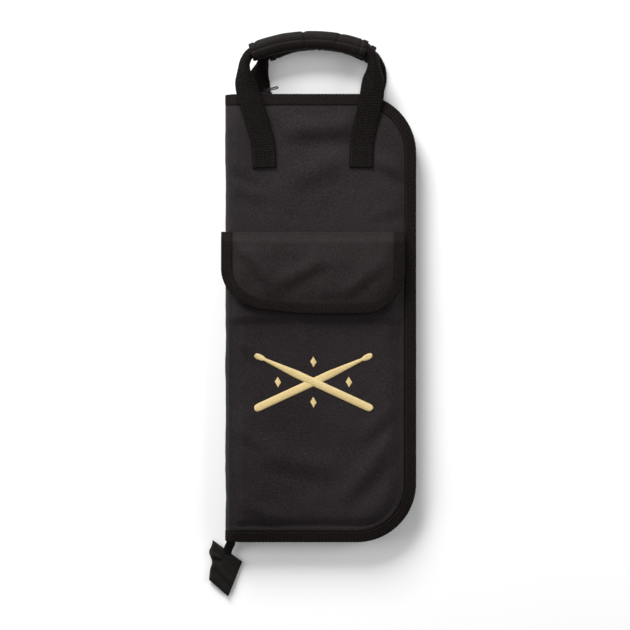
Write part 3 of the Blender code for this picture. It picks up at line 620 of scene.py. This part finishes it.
BACK_STRAPS = (((-62.0, 157.0), (-66.0, 241.4)), ((48.0, 157.0), (54.2, 241.4)))


def strap_dent(x, y):
    """The cloth gives way over the back handle's sewn ends."""
    dent = 0.0
    for (x0, y0), (x1, y1) in BACK_STRAPS:
        centre = x0 + (x1 - x0) * (y - y0) / (y1 - y0)
        dent = max(dent, ease((16.5 - abs(x - centre)) / 3.5) * ease((y - PRESSED_FROM_Y) / 4.5))
    return dent


def wrap_point(side, x, y, angle, depth):
    """A point of a layer that wraps both halves and the spine between them. angle is round the spine."""
    reach = MID_Z - depth
    rise = (reach - rim_drop(edge_distance(x, y))) * sin(angle)
    waver = 1.1 * ripple(3.0, y, 34, 8.8) + 0.4 * ripple(5.0, y, 11, 2.8)
    px = x - reach * cos(angle) + (waver - 0.5) * cos(angle) * (1.0 if depth < 1 else 0.3)
    return px, y, MID_Z + side * rise


def wrap_rows(depth_at, front_lift, back_lift):
    """Rows of points from the back panel's zip side, round the spine, to the front panel's zip side."""
    near_rim = [0.0, 0.8, 2.0, 4.0, 6.5, 9.5, 13.0, 17.0, 22.0, 28.0]
    start_x = SPINE_X + MID_Z
    rows = []
    for y, right in row_stops(4.6):
        inner = np.linspace(right - near_rim[-1], start_x, 34)[1:]
        xs = [right - d for d in near_rim] + list(inner)
        spots = [(-1, x, pi / 2) for x in xs[:-1]]
        spots += [(-1 if a < 0 else 1, start_x, abs(a)) for a in np.radians(np.arange(-90, 91, 7.5))]
        spots += [(1, x, pi / 2) for x in reversed(xs[:-1])]
        row = []
        for side, x, angle in spots:
            px, py, pz = wrap_point(side, x, y, angle, depth_at(edge_distance(x, y)))
            lift = front_lift(px, py) if side > 0 else back_lift(px, py)
            row.append((px, py, pz + lift * sin(angle) ** 2))
        rows.append(row)
    return rows


def build_wrap():
    """The shell cloth and the lining, each one piece round the spine."""
    rows = wrap_rows(lambda d: 0.0, front_folds, lambda x, y: 1.75 * strap_dent(x, y))
    shell = grid("shell_cloth", rows, "shell", looks=DOWN)
    thicken(shell, 0.9)
    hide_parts("back_shell", "front_shell")

    def lining_depth(d):
        return 1.4 + 2.9 * ease((d - 8.0) / 6.0)

    def quilt(x, y):
        return 0.5 * ripple(x, y, 30, 6.1) + 0.2 * ripple(x, y, 9, 2.2)

    rows = wrap_rows(lining_depth, lambda x, y: -abs(quilt(x, y)), quilt)
    lining = grid("lining_cloth", rows, "lining", looks=UP)
    thicken(lining, 0.5)
    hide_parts("back_lining", "front_lining", "back_foam", "front_foam")
    for piece in (shell, lining):
        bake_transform(piece)


def rim_stations():
    """The panel's outline, from the spine's top to its bottom: (angle, x, y, inward x, inward y)."""
    step = 4.0
    start, corner_y, corner_x = SPINE_X + MID_Z, PANEL_Y - CORNER_R, PANEL_X - CORNER_R
    half = [(radians(a), start, PANEL_Y, 0.0, -1.0) for a in range(0, 91, 10)]
    count = int((corner_x - start) / step)
    half += [(pi / 2, x, PANEL_Y, 0.0, -1.0) for x in np.linspace(start, corner_x, count)[1:-1]]
    for a in np.radians(np.arange(0, 91, 4.5)):
        x, y = corner_x + CORNER_R * sin(a), corner_y + CORNER_R * cos(a)
        half.append((pi / 2, x, y, -sin(a), -cos(a)))
    down = np.linspace(corner_y, 0.0, int(corner_y / step))[1:]
    side = [(pi / 2, PANEL_X, y, -1.0, 0.0) for y in down]
    top = half + side
    return top + [(a, x, -y, nx, -ny) for a, x, y, nx, ny in reversed(top[:-1])]


RIM = rim_stations()


def rim_point(station, side, d, depth, wobble=0.0):
    """A point d in from the outline and depth below the shell. wobble moves it in and out a little."""
    angle, x, y, nx, ny = station
    reach = MID_Z - depth
    rise = 0.3 + (reach - 0.3 - rim_drop(d)) * sin(angle)
    out = wobble * ripple(x * 0.7 + y * 0.5, y * 0.8 - x * 0.3, 17, 5.0 + side)
    return np.array((x + nx * (d - out) - reach * cos(angle), y + ny * (d - out), MID_Z + side * rise))


def rim_strip(name, section, side, wobble, thickness_mm, material):
    """A strip round the panel's edge, through a section of (distance in from the edge, depth)."""
    rows = [[rim_point(s, side, d, q, wobble) for d, q in section] for s in RIM]
    strip = grid(name, rows, material, looks=(0, 0, side))
    thicken(strip, thickness_mm)
    return strip


def build_rim(half, side):
    """The edge binding, the zip's tape and its coil, for one half."""
    body = f"{half}_half"
    section = [(BINDING_W, -0.62), (BINDING_W - 0.5, -0.88), (7.0, -0.9), (3.5, -0.94), (1.0, -0.92)]
    section += [(-0.2, -0.84), (-0.72, -0.5), (-BINDING_OUT, 0.2), (-BINDING_OUT, 1.4), (-0.75, 2.4)]
    section += [(-0.2, 2.85), (0.8, BINDING_DEPTH), (7.6, BINDING_DEPTH)]
    binding = rim_strip(f"{half}_edge_binding", section, side, 0.25, 0.55, "binding")
    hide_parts(f"{half}_binding")
    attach(binding, body)
    seam = [rim_point(s, side, BINDING_W - 1.9, -1.02, 0.25) for s in RIM[6:-6]]
    stitches(f"{half}_binding_stitches", [seam], body, lift=0.16 * side)

    section = [(7.0, 3.3), (3.0, 3.3), (0.4, 3.35), (-0.8, 3.5), (-1.45, 3.9)]
    section += [(-1.7, 4.5), (-1.7, 5.2), (-1.7, 5.85)]
    tape = rim_strip(f"{half}_zip_tape", section, side, 0.0, 0.6, "tape")
    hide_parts(f"zip_tape_{half}")
    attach(tape, body)

    build_coil(half, side, body)


def chain_line():
    """The zip's line round the bag: (x, y, outward x, outward y), close together."""
    out, step = 1.35, 0.31
    line = np.array([(x - nx * out, y - ny * out, -nx, -ny) for _, x, y, nx, ny in RIM[9:-9]])
    run = run_along(line[:, :2])
    at = np.arange(0.0, run[-1], step)
    return at, np.stack([np.interp(at, run, line[:, k]) for k in range(4)], axis=1)


def build_coil(half, side, body):
    """A nylon coil on one tape. Past the slider its teeth reach into the other half's."""
    pitch, wire_r, close_x, close_over = 3.7, 0.56, -50.0, 6.0
    at, line = chain_line()
    on_top = line[:, 1] > PANEL_Y
    # At rest the front coil starts past the slider, and the back one runs through it.
    start_x = -51.0 if side > 0 else -64.2
    keep = ~(on_top & (line[:, 0] < start_x))
    at, line = at[keep], line[keep]
    closed = smoothstep(np.where(on_top[keep], (line[:, 0] - close_x) / close_over, 1.0))
    angle = 2 * pi * at / pitch + (pi if side > 0 else 0.0)
    low, high = 1.25 - 0.95 * closed, 1.75
    centre, half_height = (low + high) / 2, (high - low) / 2
    points = np.empty((len(at), 3))
    points[:, :2] = line[:, :2] + line[:, 2:] * (0.52 * np.cos(angle))[:, None]
    points[:, 2] = MID_Z + side * (centre + half_height * np.sin(angle))
    coil = tubes(f"{half}_zip_coil", [points], wire_r, 7, "coil")
    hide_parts(f"zip_coil_{half}")
    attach(coil, body)


# ---------------- sleeves


def sleeve_height(x, y, fullness=1.0):
    """The top of the sleeves' cloth: three round channels between four seams."""
    base = rim_drop(edge_distance(x, y)) + SLEEVE_BASE
    for left, right in zip(SLEEVE_SEAMS, SLEEVE_SEAMS[1:]):
        if left <= x <= right:
            t = abs(2 * (x - left) / (right - left) - 1)
            bulge = max(1 - t**7.0, 0.0) ** 0.75
            sag = 0.55 * ripple(x, y, 26, 7.7) - 0.5
            return base + fullness * bulge * (SLEEVE_TOP + sag - base)
    return base


def build_sleeves():
    near_seam = np.array([0, 0.006, 0.015, 0.03, 0.055, 0.1, 0.2, 0.35])
    shares = np.concatenate([near_seam, [0.5], 1 - near_seam[:0:-1]])
    xs = []
    for left, right in zip(SLEEVE_SEAMS, SLEEVE_SEAMS[1:]):
        xs += list(left + shares * (right - left))
    xs.append(SLEEVE_SEAMS[-1])
    ys = [-209.0, -207.5, -205.5, -203.0, -199.0, *np.linspace(-192, 60, 40)]
    lifts = [0.0, 0.4, 0.8, 0.96, 1.0] + [1.0] * 40
    rows = [[(x, y, sleeve_height(x, y, lift)) for x in xs] for y, lift in zip(ys, lifts)]
    sleeves = grid("sleeve_cloth", rows, "lining", looks=UP)
    thicken(sleeves, 0.6)
    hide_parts("stick_sleeves")
    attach(sleeves, "back_half")

    profile = [(52.0, 0.35), (53.0, 0.75), (59.5, 0.8), (60.6, 0.55), (60.9, -0.3), (60.6, -1.0)]
    rows = []
    for y, out in profile:
        line = np.array([(x, 0.0, sleeve_height(x, min(y, 60.0))) for x in xs])
        slope = np.gradient(line, axis=0)
        normal = np.stack([-slope[:, 2], np.zeros(len(xs)), slope[:, 0]], axis=1)
        normal /= np.linalg.norm(normal, axis=1)[:, None]
        line += normal * out
        line[:, 1] = y
        rows.append(line)
    band = grid("sleeve_mouth_binding", np.swapaxes(rows, 0, 1), "binding", looks=UP)
    thicken(band, 0.5)
    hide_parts("sleeve_binding")
    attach(band, "back_half")
    seams = [[(x, y, sleeve_height(x, y) + 0.1) for y in np.arange(-206, 60, 3.0)] for x in SLEEVE_SEAMS[1:3]]
    stitches("sleeve_seam_stitches", seams, "back_half", "lining_fabric")


# ---------------- pocket


def pocket_height(x, y):
    """The height of the pocket's smooth cloth, and its rise from its seams, from 0 to 1."""
    lift = ease(min(x - POCKET_LEFT, edge_distance(x, y) - POCKET_INSET) / POCKET_WALL)
    out = 1.2
    before = max(SPINE_X + MID_Z - x, 0.0)
    arch = sqrt(max(1.0 - (before / (MID_Z + out)) ** 2, 0.0))
    shell = MID_Z + 0.3 + (MID_Z + out - 0.3 - rim_drop(edge_distance(x, y))) * arch
    return shell + POCKET_LIFT * lift, lift


POCKET_CREASES = (
    ((84, -124), (28, -192), 11.0, 1.7),
    ((86, -90), (44, -130), 9.0, 1.1),
    ((-92, -194), (-44, -214), 8.0, 1.0),
    ((-94, -118), (-60, -138), 8.0, 1.0),
    ((-62, -148), (14, -165), 14.0, 1.3),
    ((70, -22), (88, 6), 6.0, 1.0),
    ((-90, -20), (-66, -48), 7.0, 1.1),
)


def pocket_folds(x, y, lift):
    folds = sum(crease(x, y, *fold) for fold in POCKET_CREASES)
    return (folds + 1.2 * ripple(x, y, 42, 9.4) + 0.5 * ripple(x, y, 17, 0.4) - 0.6) * lift


def build_pocket():
    near_edge = np.array([0, 0.008, 0.02, 0.036, 0.055, 0.078])
    shares = np.concatenate([near_edge, np.linspace(0.1, 0.9, 38), 1 - near_edge[::-1]])
    rows, lifts = [], []
    for y, right in row_stops(4.2, radius=CORNER_R - POCKET_INSET, top=POCKET_MOUTH_Y):
        row = []
        for x in POCKET_LEFT + shares * (right - POCKET_LEFT):
            z, lift = pocket_height(x, y)
            lifts.append(lift)
            calm = 0.25 + 0.75 * ease((4.0 - y) / 30.0)
            row.append((x, y, z + pocket_folds(x, y, lift) * calm))
        rows.append(row)
    pocket = grid("pocket_cloth", rows, "pocket", looks=UP)
    points = np.array(rows).reshape(-1, 3)
    edge = np.array(lifts) < 0.002
    mouth = points[:, 1] > POCKET_MOUTH_Y - 12
    pins = np.where(edge, 1.0, np.where(mouth, 0.5, 0.0))
    room = np.where(points[:, 1] > -4, 0.15, 1.0) * smoothstep(np.array(lifts) * 3.0)
    relax(pocket, pins, 22, grow=0.014, pressure=0.25, down=3.0, up=1.4, aside=2.5, gravity=0.15, shape=room)
    thicken(pocket, 0.8)
    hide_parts("pocket", "pocket_hem")
    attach(pocket, "front_half")
    top = surface_of(pocket)

    mouth_x = np.linspace(-88, 78, 60)
    lines = []
    for ahead, down in ((0.1, 0.2), (0.5, 0.8), (0.1, 1.5), (-5.4, 1.6), (-11.2, 1.6)):
        y = POCKET_MOUTH_Y + ahead
        lines.append([(x, y, top(x, min(y, POCKET_MOUTH_Y - 0.4), 34.0) - down) for x in mouth_x])
    hem = grid("pocket_mouth_hem", lines, "pocket", looks=(0, 1, 0))
    thicken(hem, 0.4)
    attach(hem, "front_half")
    seam_lines = [[(x, 71.5, top(x, 71.5) + 0.06) for x in mouth_x]]
    stitches("pocket_hem_stitches", seam_lines, "front_half", "shell_fabric")
    side = [(-96.1, y, top(-96.1, y, 28.0) + 0.08) for y in np.arange(-219, 81, 2.5)]
    stitches("pocket_side_stitches", [side], "front_half", "shell_fabric", pitch=3.4, radius=0.3)
    return top


def build_emblem(top):
    """Two crossed drum sticks and four small diamonds in gold satin stitch."""
    centre = np.array((-8.0, -66.6))
    reach, rise, pitch = 130.0, 60.0, 0.46
    length = hypot(reach, rise) - 8.0
    knots = [(0, 1.4), (1.6, 3.5), (5, 4.1), (length - 48, 4.1), (length - 12, 1.6)]
    knots += [(length - 8.5, 2.9), (length - 4, 3.2), (length - 1, 2.2), (length, 0.6)]
    ks, ws = zip(*knots)
    lean = atan2(rise, reach)
    threads = []

    def satin(middle, direction, s_values, half_width, raise_mm):
        along = np.array((cos(direction), sin(direction)))
        across = np.array((-along[1], along[0]))
        slant = 0.35
        for index, s in enumerate(s_values):
            w = half_width(s) + 0.12 * sin(index * 2.4)
            row = []
            for t in (-1.0, -0.86, -0.45, 0.0, 0.45, 0.86, 1.0):
                p = middle + along * (s + slant * t) + across * (w * t)
                arch = sqrt(max(1.0 - (0.97 * t) ** 2, 0.0))
                row.append((p[0], p[1], top(p[0], p[1], 34.8) + 0.05 + raise_mm * arch))
            threads.append(row)

    for k, angle in enumerate((lean, pi - lean)):
        steps = np.arange(-length / 2 + 0.3, length / 2 - 0.1, pitch)
        satin(centre, angle, steps, lambda s: float(np.interp(s + length / 2, ks, ws)), 0.62 + 0.4 * k)
    steps = np.arange(-5.0, 5.01, pitch)
    for dx, dy in ((0, 21), (0, -21), (-37, 0), (37, 0)):
        place = centre + (dx, dy)
        satin(place, pi / 2, steps, lambda s: max(3.4 * (1 - abs(s) / 5.3), 0.25), 0.5)
    emblem = tubes("gold_embroidery", threads, 0.30, 6, "gold", flatten=0.85)
    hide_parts("emblem")
    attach(emblem, "front_half")


# ---------------- flap


FLAP_SEAM_STOPS = (FLAP_TOP, 88.6, 87.0, 85.0, 83.0, 81.0, 78.8)
FLAP_CREASES = (
    ((-84, 68), (-58, 32), 9.0, 1.6),
    ((-42, 30), (2, 54), 9.0, 1.4),
    ((28, 24), (68, 54), 9.0, 1.3),
)


def flap_point(x, y, depth):
    """A point below the flap's top face. It sags to both sides, and its lower left corner is drawn up."""
    share = min(max((FLAP_TOP - y) / FLAP_SEAM_W, 0.0), 1.0)
    rise = FLAP_TOP_Z - FLAP_SEAM_Z
    rise -= 3.6 * ease((FLAP_LEFT + 21.0 - x) / 21.0) + 2.4 * ease((x - FLAP_RIGHT + 20.0) / 20.0)
    slope = rise * 6 * share * (1 - share) / FLAP_SEAM_W
    slant = 6.0 * ease((-10.0 - x) / 75.0) * ease((FLAP_TOP - y) / 80.0)
    z = FLAP_SEAM_Z + rise * ease(share) - depth * hypot(1.0, slope)
    return x, y + slant, z


def flap_outline():
    """A U from the seam's right end round the bottom to its left end: (x, y, inward x, inward y)."""
    right, low, step = FLAP_RIGHT, FLAP_BOTTOM, 3.5
    half = [(right, y, -1.0, 0.0) for y in FLAP_SEAM_STOPS]
    half += [(right, y, -1.0, 0.0) for y in np.arange(75.0, low + FLAP_R, -step)]
    for a in np.radians(np.arange(0, 91, 4.5)):
        c, s = cos(a), sin(a)
        half.append((right - FLAP_R + FLAP_R * c, low + FLAP_R - FLAP_R * s, -c, s))
    middle = (FLAP_LEFT + FLAP_RIGHT) / 2
    half += [(x, low, 0.0, 1.0) for x in np.arange(right - FLAP_R - step, middle + 1, -step)]
    return half + [(2 * middle - x, y, -nx, ny) for x, y, nx, ny in reversed(half)]


def flap_field(depth, puff):
    """Rows across the flap from its seam to its bottom edge."""
    middle, half = (FLAP_LEFT + FLAP_RIGHT) / 2, (FLAP_RIGHT - FLAP_LEFT) / 2
    stops = [(y, half) for y in (*FLAP_SEAM_STOPS, 76.0, 72.6)]
    stops += [(y, half) for y in np.arange(69.0, FLAP_BOTTOM + FLAP_R, -3.4)]
    for a in np.radians(np.arange(0, 91, 5)):
        stops.append((FLAP_BOTTOM + FLAP_R - FLAP_R * sin(a), half - FLAP_R + FLAP_R * cos(a)))
    near_edge = np.array([-1, -0.985, -0.96, -0.925])
    shares = np.concatenate([near_edge, np.linspace(-0.88, 0.88, 46), -near_edge[::-1]])
    rows, inside = [], []
    for y, reach in stops:
        row = []
        for t in shares:
            x = middle + t * reach
            px, py, pz = flap_point(x, y, depth)
            border = min(reach - abs(t * reach), FLAP_TOP - y)
            if y < FLAP_BOTTOM + FLAP_R:
                corner = abs(x - middle) - (half - FLAP_R)
                low = FLAP_R - hypot(max(corner, 0.0), FLAP_BOTTOM + FLAP_R - y)
                border = min(border, low if corner > 0 else y - FLAP_BOTTOM)
            share = ease((border - 8.0) / 14.0)
            inside.append(share)
            row.append((px, py, pz + puff(x, y) * share))
        rows.append(row)
    return rows, np.array(inside)


def build_flap():
    def puff(x, y):
        soft = 0.9 + 0.7 * ripple(x, y, 36, 2.9) + 0.25 * ripple(x, y, 14, 6.6)
        for fold in FLAP_CREASES:
            soft += crease(x, y, *fold)
        return soft

    rows, inside = flap_field(0.0, puff)
    flap = grid("flap_cloth", rows, "flap", looks=UP)
    pins = np.where(inside < 0.01, 1.0, 0.0)
    relax(flap, pins, 18, grow=0.010, pressure=0.5, down=0.35, up=1.6, aside=1.0, shape=inside)
    thicken(flap, 0.7)
    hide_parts("flap_shell")
    rows, _ = flap_field(1.25, lambda x, y: 0.2 * ripple(x, y, 18, 4.4) - 0.1)
    lining = grid("flap_lining_cloth", rows, "lining", looks=UP)
    thicken(lining, 0.35)
    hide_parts("flap_lining")

    section = [(FLAP_BINDING_W, -0.6), (FLAP_BINDING_W - 0.5, -0.86), (6.5, -0.9), (3.0, -1.0), (0.8, -0.95)]
    section += [(-0.2, -0.8), (-0.72, -0.4), (-BINDING_OUT, 0.3), (-BINDING_OUT, 1.2), (-0.72, 1.95)]
    section += [(-0.2, 2.4), (0.8, 2.5), (FLAP_BINDING_W, 2.5)]
    outline = flap_outline()
    rows = [[flap_point(x + nx * d, y + ny * d, depth) for d, depth in section] for x, y, nx, ny in outline]
    binding = grid("flap_edge_binding", rows, "binding", looks=UP)
    thicken(binding, 0.5)
    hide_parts("flap_binding")
    for piece in (flap, lining, binding):
        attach(piece, "flap")
    seam = [flap_point(x + nx * 8.4, y + ny * 8.4, -1.0) for x, y, nx, ny in outline[2:-2]]
    across = [flap_point(x, FLAP_TOP - 2.4, -0.05) for x in np.arange(FLAP_LEFT + 11, FLAP_RIGHT - 11, 4.0)]
    stitches("flap_stitches", [seam, across], "flap", "flap_fabric")


# ---------------- handles


def strap_rows(knots):
    """Rings along a strap through knots of (x, y, z, curl, height).

    Curl, in degrees, folds the strap's edges under, and height is how much of the fold's arch is left.
    """
    path = spline(knots, 9)
    across, up = frames_along(path[:, :3])
    width, thickness = 25.0, 1.5
    rows = []
    for p, side, top in zip(path, across, up):
        curl = radians(max(p[3], 0.5))
        radius = (width / 2) / curl
        deep = radius * (1 - cos(curl))
        height = p[4]
        ring = []
        for face, shares in ((0.5, np.linspace(-1, 1, 15)), (-0.5, np.linspace(1, -1, 15))):
            for u in shares:
                edge = 0.72 if abs(u) > 0.99 else 1.0
                r = radius + face * thickness * edge
                a = curl * u * (0.985 if abs(u) > 0.99 else 1.0)
                lean = cos(a) if height > 0.99 else 1.0
                arch = height * (radius * cos(a) - radius + deep / 2) + (r - radius) * lean
                offset = side * (r * sin(a)) + top * arch
                ring.append(p[:3] + offset)
        rows.append(ring)
    return rows


STRAPS = {
    "front_left": (
        (-59.2, 156.4, 29.1, 0, 1), (-60.5, 180.6, 29.1, 0, 1), (-65.0, 199.0, 29.2, 2, 1),
        (-73.5, 226.0, 29.0, 10, 1), (-79.2, 247.0, 27.0, 55, 1), (-80.6, 261.0, 24.6, 125, 1),
        (-78.4, 270.5, 22.8, 150, 1), (-72.6, 277.8, 21.9, 155, 1), (-60.0, 282.4, 21.9, 155, 1),
    ),
    "front_right": (
        (41.6, 156.6, 29.1, 0, 1), (42.4, 180.6, 29.1, 0, 1), (45.7, 199.0, 29.2, 2, 1),
        (51.6, 226.8, 29.0, 8, 1), (54.4, 248.0, 27.2, 45, 1), (55.0, 264.0, 24.2, 120, 1),
        (52.6, 275.0, 22.4, 150, 1), (46.2, 280.6, 21.9, 155, 1), (34.0, 284.4, 21.9, 155, 1),
    ),
    "back_left": (
        (-62.0, 157.2, 0.85, 0, 1), (-65.4, 230.0, 0.85, 0, 1), (-66.0, 243.2, 1.0, 4, 0.4),
        (-66.0, 252.0, 1.5, 45, 0.3), (-63.8, 260.0, 2.6, 85, 0.35), (-61.8, 266.0, 5.2, 120, 0.7),
        (-59.8, 274.0, 7.0, 150, 1), (-54.6, 279.6, 7.3, 155, 1), (-44.0, 285.0, 7.3, 155, 1),
    ),
    "back_right": (
        (48.0, 157.2, 0.85, 0, 1), (53.4, 230.0, 0.85, 0, 1), (54.8, 243.2, 1.0, 4, 0.4),
        (57.8, 252.0, 1.5, 45, 0.3), (60.0, 260.0, 2.6, 85, 0.35), (60.2, 265.0, 5.0, 115, 0.7),
        (58.4, 270.8, 7.0, 150, 1), (53.6, 276.6, 7.3, 155, 1), (43.0, 281.8, 7.3, 155, 1),
    ),
}
FRONT_ARCH = ((-73.6, 277.6), (-45.0, 286.8), (-13.0, 290.6), (18.0, 288.4), (47.6, 280.6))
BACK_ARCH = ((-56.4, 278.6), (-32.0, 288.6), (-2.0, 291.6), (28.0, 287.2), (55.0, 275.9))


def build_straps():
    for name, knots in STRAPS.items():
        half, side = name.split("_")
        strap = grid(f"{half}_strap_{side}", strap_rows(knots), "webbing", closed=True, caps=True)
        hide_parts(f"{half}_webbing_end_{side}", f"{half}_handle_webbing")
        pivot_y, z = (0.1815, 0.0291) if half == "front" else (0.2420, 0.0008)
        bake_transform(strap)
    lines = []
    for x, y in ((-59.9, 167.6), (41.95, 167.8)):
        z, w, h = 29.95, 10.2, 9.2
        box = [(x - w, y - h), (x + w, y - h), (x + w, y + h), (x - w, y + h), (x - w, y - h)]
        lines.append([(*p, z) for p in box])
        lines.append([(x - w, y + h - 2.2, z), (x + w, y + h - 2.2, z)])
    stitches("strap_box_stitches", lines, "front_half", "webbing", pitch=2.9, length=2.1)


def build_grip(half, arch, z, seed):
    """A padded sleeve round the folded webbing: lapped along its top, hemmed at both ends, creased in use."""
    path = spline([(x, y, z) for x, y in arch], 34)
    across, up = frames_along(path)
    run = run_along(path)
    total, last = run[-1], len(path) - 1
    sides, hem_at, half_w, half_t, squareness = 84, 7.0, 9.9, 6.3, 0.88

    def ring(k, swell):
        s = run[k]
        out = []
        for step in range(sides):
            a = 2 * pi * step / sides
            c, q = cos(a), sin(a)
            hem = -1.2 * bell(min(s, total - s) - hem_at, 1.0)
            fold_mid = -1.5 * bell(s - total * 0.46 - 1.6 * q, 1.5)
            fold_low = -0.8 * bell(s - total * 0.475 - 5.0 * c, 1.3) * max(c, 0.0)
            fold_side = -0.8 * bell(s - total * 0.74 + 3.0 * c, 1.6)
            turn = degrees(a) - 84.0
            lap = 0.6 * ease((4.0 - turn) / 5.0) * (1 if q > -0.4 else 0)
            lap -= 0.5 * bell(turn - 6.0, 4.5)
            soft = 0.28 * ripple(s + 40 * seed, degrees(a) * 0.35, 12, seed)
            grow = swell * (1.0 + (hem + fold_mid + fold_low + fold_side + soft + lap - 0.35) / 10.0)
            wide = copysign(abs(c) ** squareness, c) * half_w * grow
            thick = copysign(abs(q) ** squareness, q) * half_t * grow
            out.append(path[k] + across[k] * wide + up[k] * thick)
        return out

    tucked_end = ((6, 0.60), (2, 0.62), (0, 0.68), (0, 0.82), (0, 0.90))
    rows = [ring(k, swell) for k, swell in tucked_end]
    for k in range(1, last):
        near_end = max(0.0, 1.0 - min(run[k], total - run[k]) / 5.0)
        rows.append(ring(k, 1.0 - 0.07 * near_end**2))
    rows += [ring(last - k, swell) for k, swell in reversed(tucked_end)]
    grip = grid(f"{half}_grip", rows, "grip", closed=True)
    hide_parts(f"{half}_grip_sleeve", f"{half}_grip_foam")
    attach(grip, f"{half}_handle")
    seams = []
    for at in (hem_at, total - hem_at):
        ring_points = np.array(ring(int(np.argmin(abs(run - at))), 1.004))
        seams.append(ring_points[np.arange(-16, 60) % sides])
    lap_line = [path[k] + across[k] * -1.6 for k in range(8, last - 7)]
    seams.append(laid_on(surface_of(grip), lap_line, z + 6.0))
    name = f"{half}_grip_stitches"
    stitches(name, seams, f"{half}_handle", "grip_fabric", pitch=2.6, length=1.9, radius=0.2)


# ---------------- slider, pull and tail


def build_pull():
    """A wire loop with round ends, a little narrower in its middle."""
    along = np.array((0.97, 0.24, 0.0))
    along /= np.linalg.norm(along)
    tilt = radians(34.0)
    across = np.array((0.0, -sin(tilt), cos(tilt)))
    across -= across.dot(along) * along
    across /= np.linalg.norm(across)
    bend_r, wire_r, length, waist = 2.05, 0.65, 13.0, 0.35
    base = np.array((-57.9, 238.7, 14.0)) + along * bend_r
    tip = base + along * (length - 2 * bend_r)
    points = []
    for end, other, way in ((tip, base, 1), (base, tip, -1)):
        for a in np.radians(np.arange(-90, 91, 12)):
            points.append(end + way * bend_r * (along * cos(a) + across * sin(a)))
        for t in (0.25, 0.5, 0.75):
            half = bend_r - waist * sin(pi * t)
            points.append(end + (other - end) * t + way * half * across)
    points = np.array(points)
    ahead = np.roll(points, -1, axis=0) - np.roll(points, 1, axis=0)
    ahead /= np.linalg.norm(ahead, axis=1)[:, None]
    normal = np.cross(along, across)
    turns = np.linspace(0, 2 * pi, 13)[:-1]
    rows = []
    for p, d in zip(points, ahead):
        side = np.cross(d, normal)
        rows.append([p + wire_r * (side * cos(a) + normal * sin(a)) for a in turns])
    rows.append(rows[0])
    pull = grid("wire_pull", rows, "metal", closed=True)
    edit_mesh(pull, lambda bm: bmesh.ops.remove_doubles(bm, verts=bm.verts, dist=1e-6))
    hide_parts("zip_pull")
    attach(pull, "zip_pull")


def build_tail():
    """The tapes' ends and the fabric tab folded over them and stitched."""
    knots = [(-94.6, -234.3, 13.9), (-94.8, -236.2, 13.0), (-95.8, -238.6, 10.2)]
    knots += [(-97.4, -242.0, 7.2), (-99.4, -248.0, 5.4)]
    path = spline(knots, 8)
    across, up = frames_along(path)
    half_w, shares = 4.7, np.linspace(-1, 1, 13)
    rows = []
    for p, side, top in zip(path, across, up):
        ring = [p + side * half_w * u + top * (0.8 - 0.9 * u * u + 0.5 * (1 - abs(u) ** 0.3)) for u in shares]
        ring += [p + side * half_w * u + top * (-0.7 - 0.9 * u * u) for u in shares[::-1]]
        rows.append(ring)
    tape = grid("zip_tail_tapes", rows, "tape", closed=True, caps=True)
    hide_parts("zip_tail_tape")
    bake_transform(tape)

    corners = ((-114.2, -233.4), (-83.0, -256.4), (-97.8, -293.4), (-118.0, -275.6))
    a, b, c, d = (np.array(p) for p in corners)

    def tab_at(u, v):
        return (a + (b - a) * u) * (1 - v) + (d + (c - d) * u) * v

    seam_at, middle_z, shares = 0.2, 3.2, np.linspace(0, 1, 31)
    tops, bottoms = [], []
    for v in shares:
        wave = -2.6 * bell(v - 0.30, 0.13) + 1.6 * bell(v - 0.56, 0.12)
        thick = (0.9 if v > seam_at else 1.5) - 0.45 * bell(v - seam_at, 0.018)
        top_row, bottom_row = [], []
        for u in shares:
            x, y = tab_at(u, v) + np.array((wave, 0.0)) * (1 - u) ** 3
            rim = min(u, 1 - u, v * 1.3, (1 - v) * 1.3)
            puffy = ease(rim / 0.10) ** 0.5
            wrinkle = 0.35 * ripple(x, y, 9, 3.3) + crease(x, y, (-118, -249), (-106, -254), 2.4, 1.5)
            wrinkle += crease(x, y, (-112, -262), (-96, -280), 4.0, 0.7)
            top_row.append((x, y, middle_z + puffy * (1.3 + thick + wrinkle)))
            bottom_row.append((x, y, middle_z - puffy * 2.3))
        tops.append(top_row)
        bottoms.append(bottom_row)
    rows = [t + bt[::-1] for t, bt in zip(tops, bottoms)]
    tab = grid("tail_tab", rows, "tab", closed=True, caps=True)
    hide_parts("zip_tail_tab")
    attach(tab, "zip_tail")
    lines = [[tab_at(u, v) for u in np.linspace(0.07, 0.93, 24)] for v in (0.06, 0.17)]
    lines.append([tab_at(0.93, v) for v in np.linspace(0.2, 0.94, 24)])
    height = surface_of(tab)
    lines = [laid_on(height, line, 5.5) for line in lines]
    stitches("tail_stitches", lines, "zip_tail", "shell_fabric", pitch=3.0, length=2.2, radius=0.22)


def dress_hardware():
    """The CAD's own slider, stops and closing strips keep their shape, with eased edges and real surfaces."""
    for node, material, width in (
        ("zip_slider", "metal", 0.35),
        ("zip_stop_back", "metal", 0.3),
        ("zip_stop_front", "metal", 0.3),
        ("pocket_loop_strip", "pile", 0.25),
        ("flap_hook_strip", "pile", 0.25),
    ):
        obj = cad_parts[node]
        obj.data.materials.clear()
        obj.data.materials.append(MATERIALS[material])
        bevel = obj.modifiers.new("eased", "BEVEL")
        bevel.width = width * MM
        bevel.segments = 2
        bevel.limit_method = "ANGLE"
        bevel.angle_limit = radians(40)


build_studio()
MATERIALS = make_materials()
build_wrap()
build_rim("back", -1)
build_rim("front", 1)
build_sleeves()
pocket_top = build_pocket()
build_emblem(pocket_top)
build_flap()
build_straps()
build_grip("front", FRONT_ARCH, 21.9, 1.0)
build_grip("back", BACK_ARCH, 7.3, 2.0)
build_pull()
build_tail()
dress_hardware()
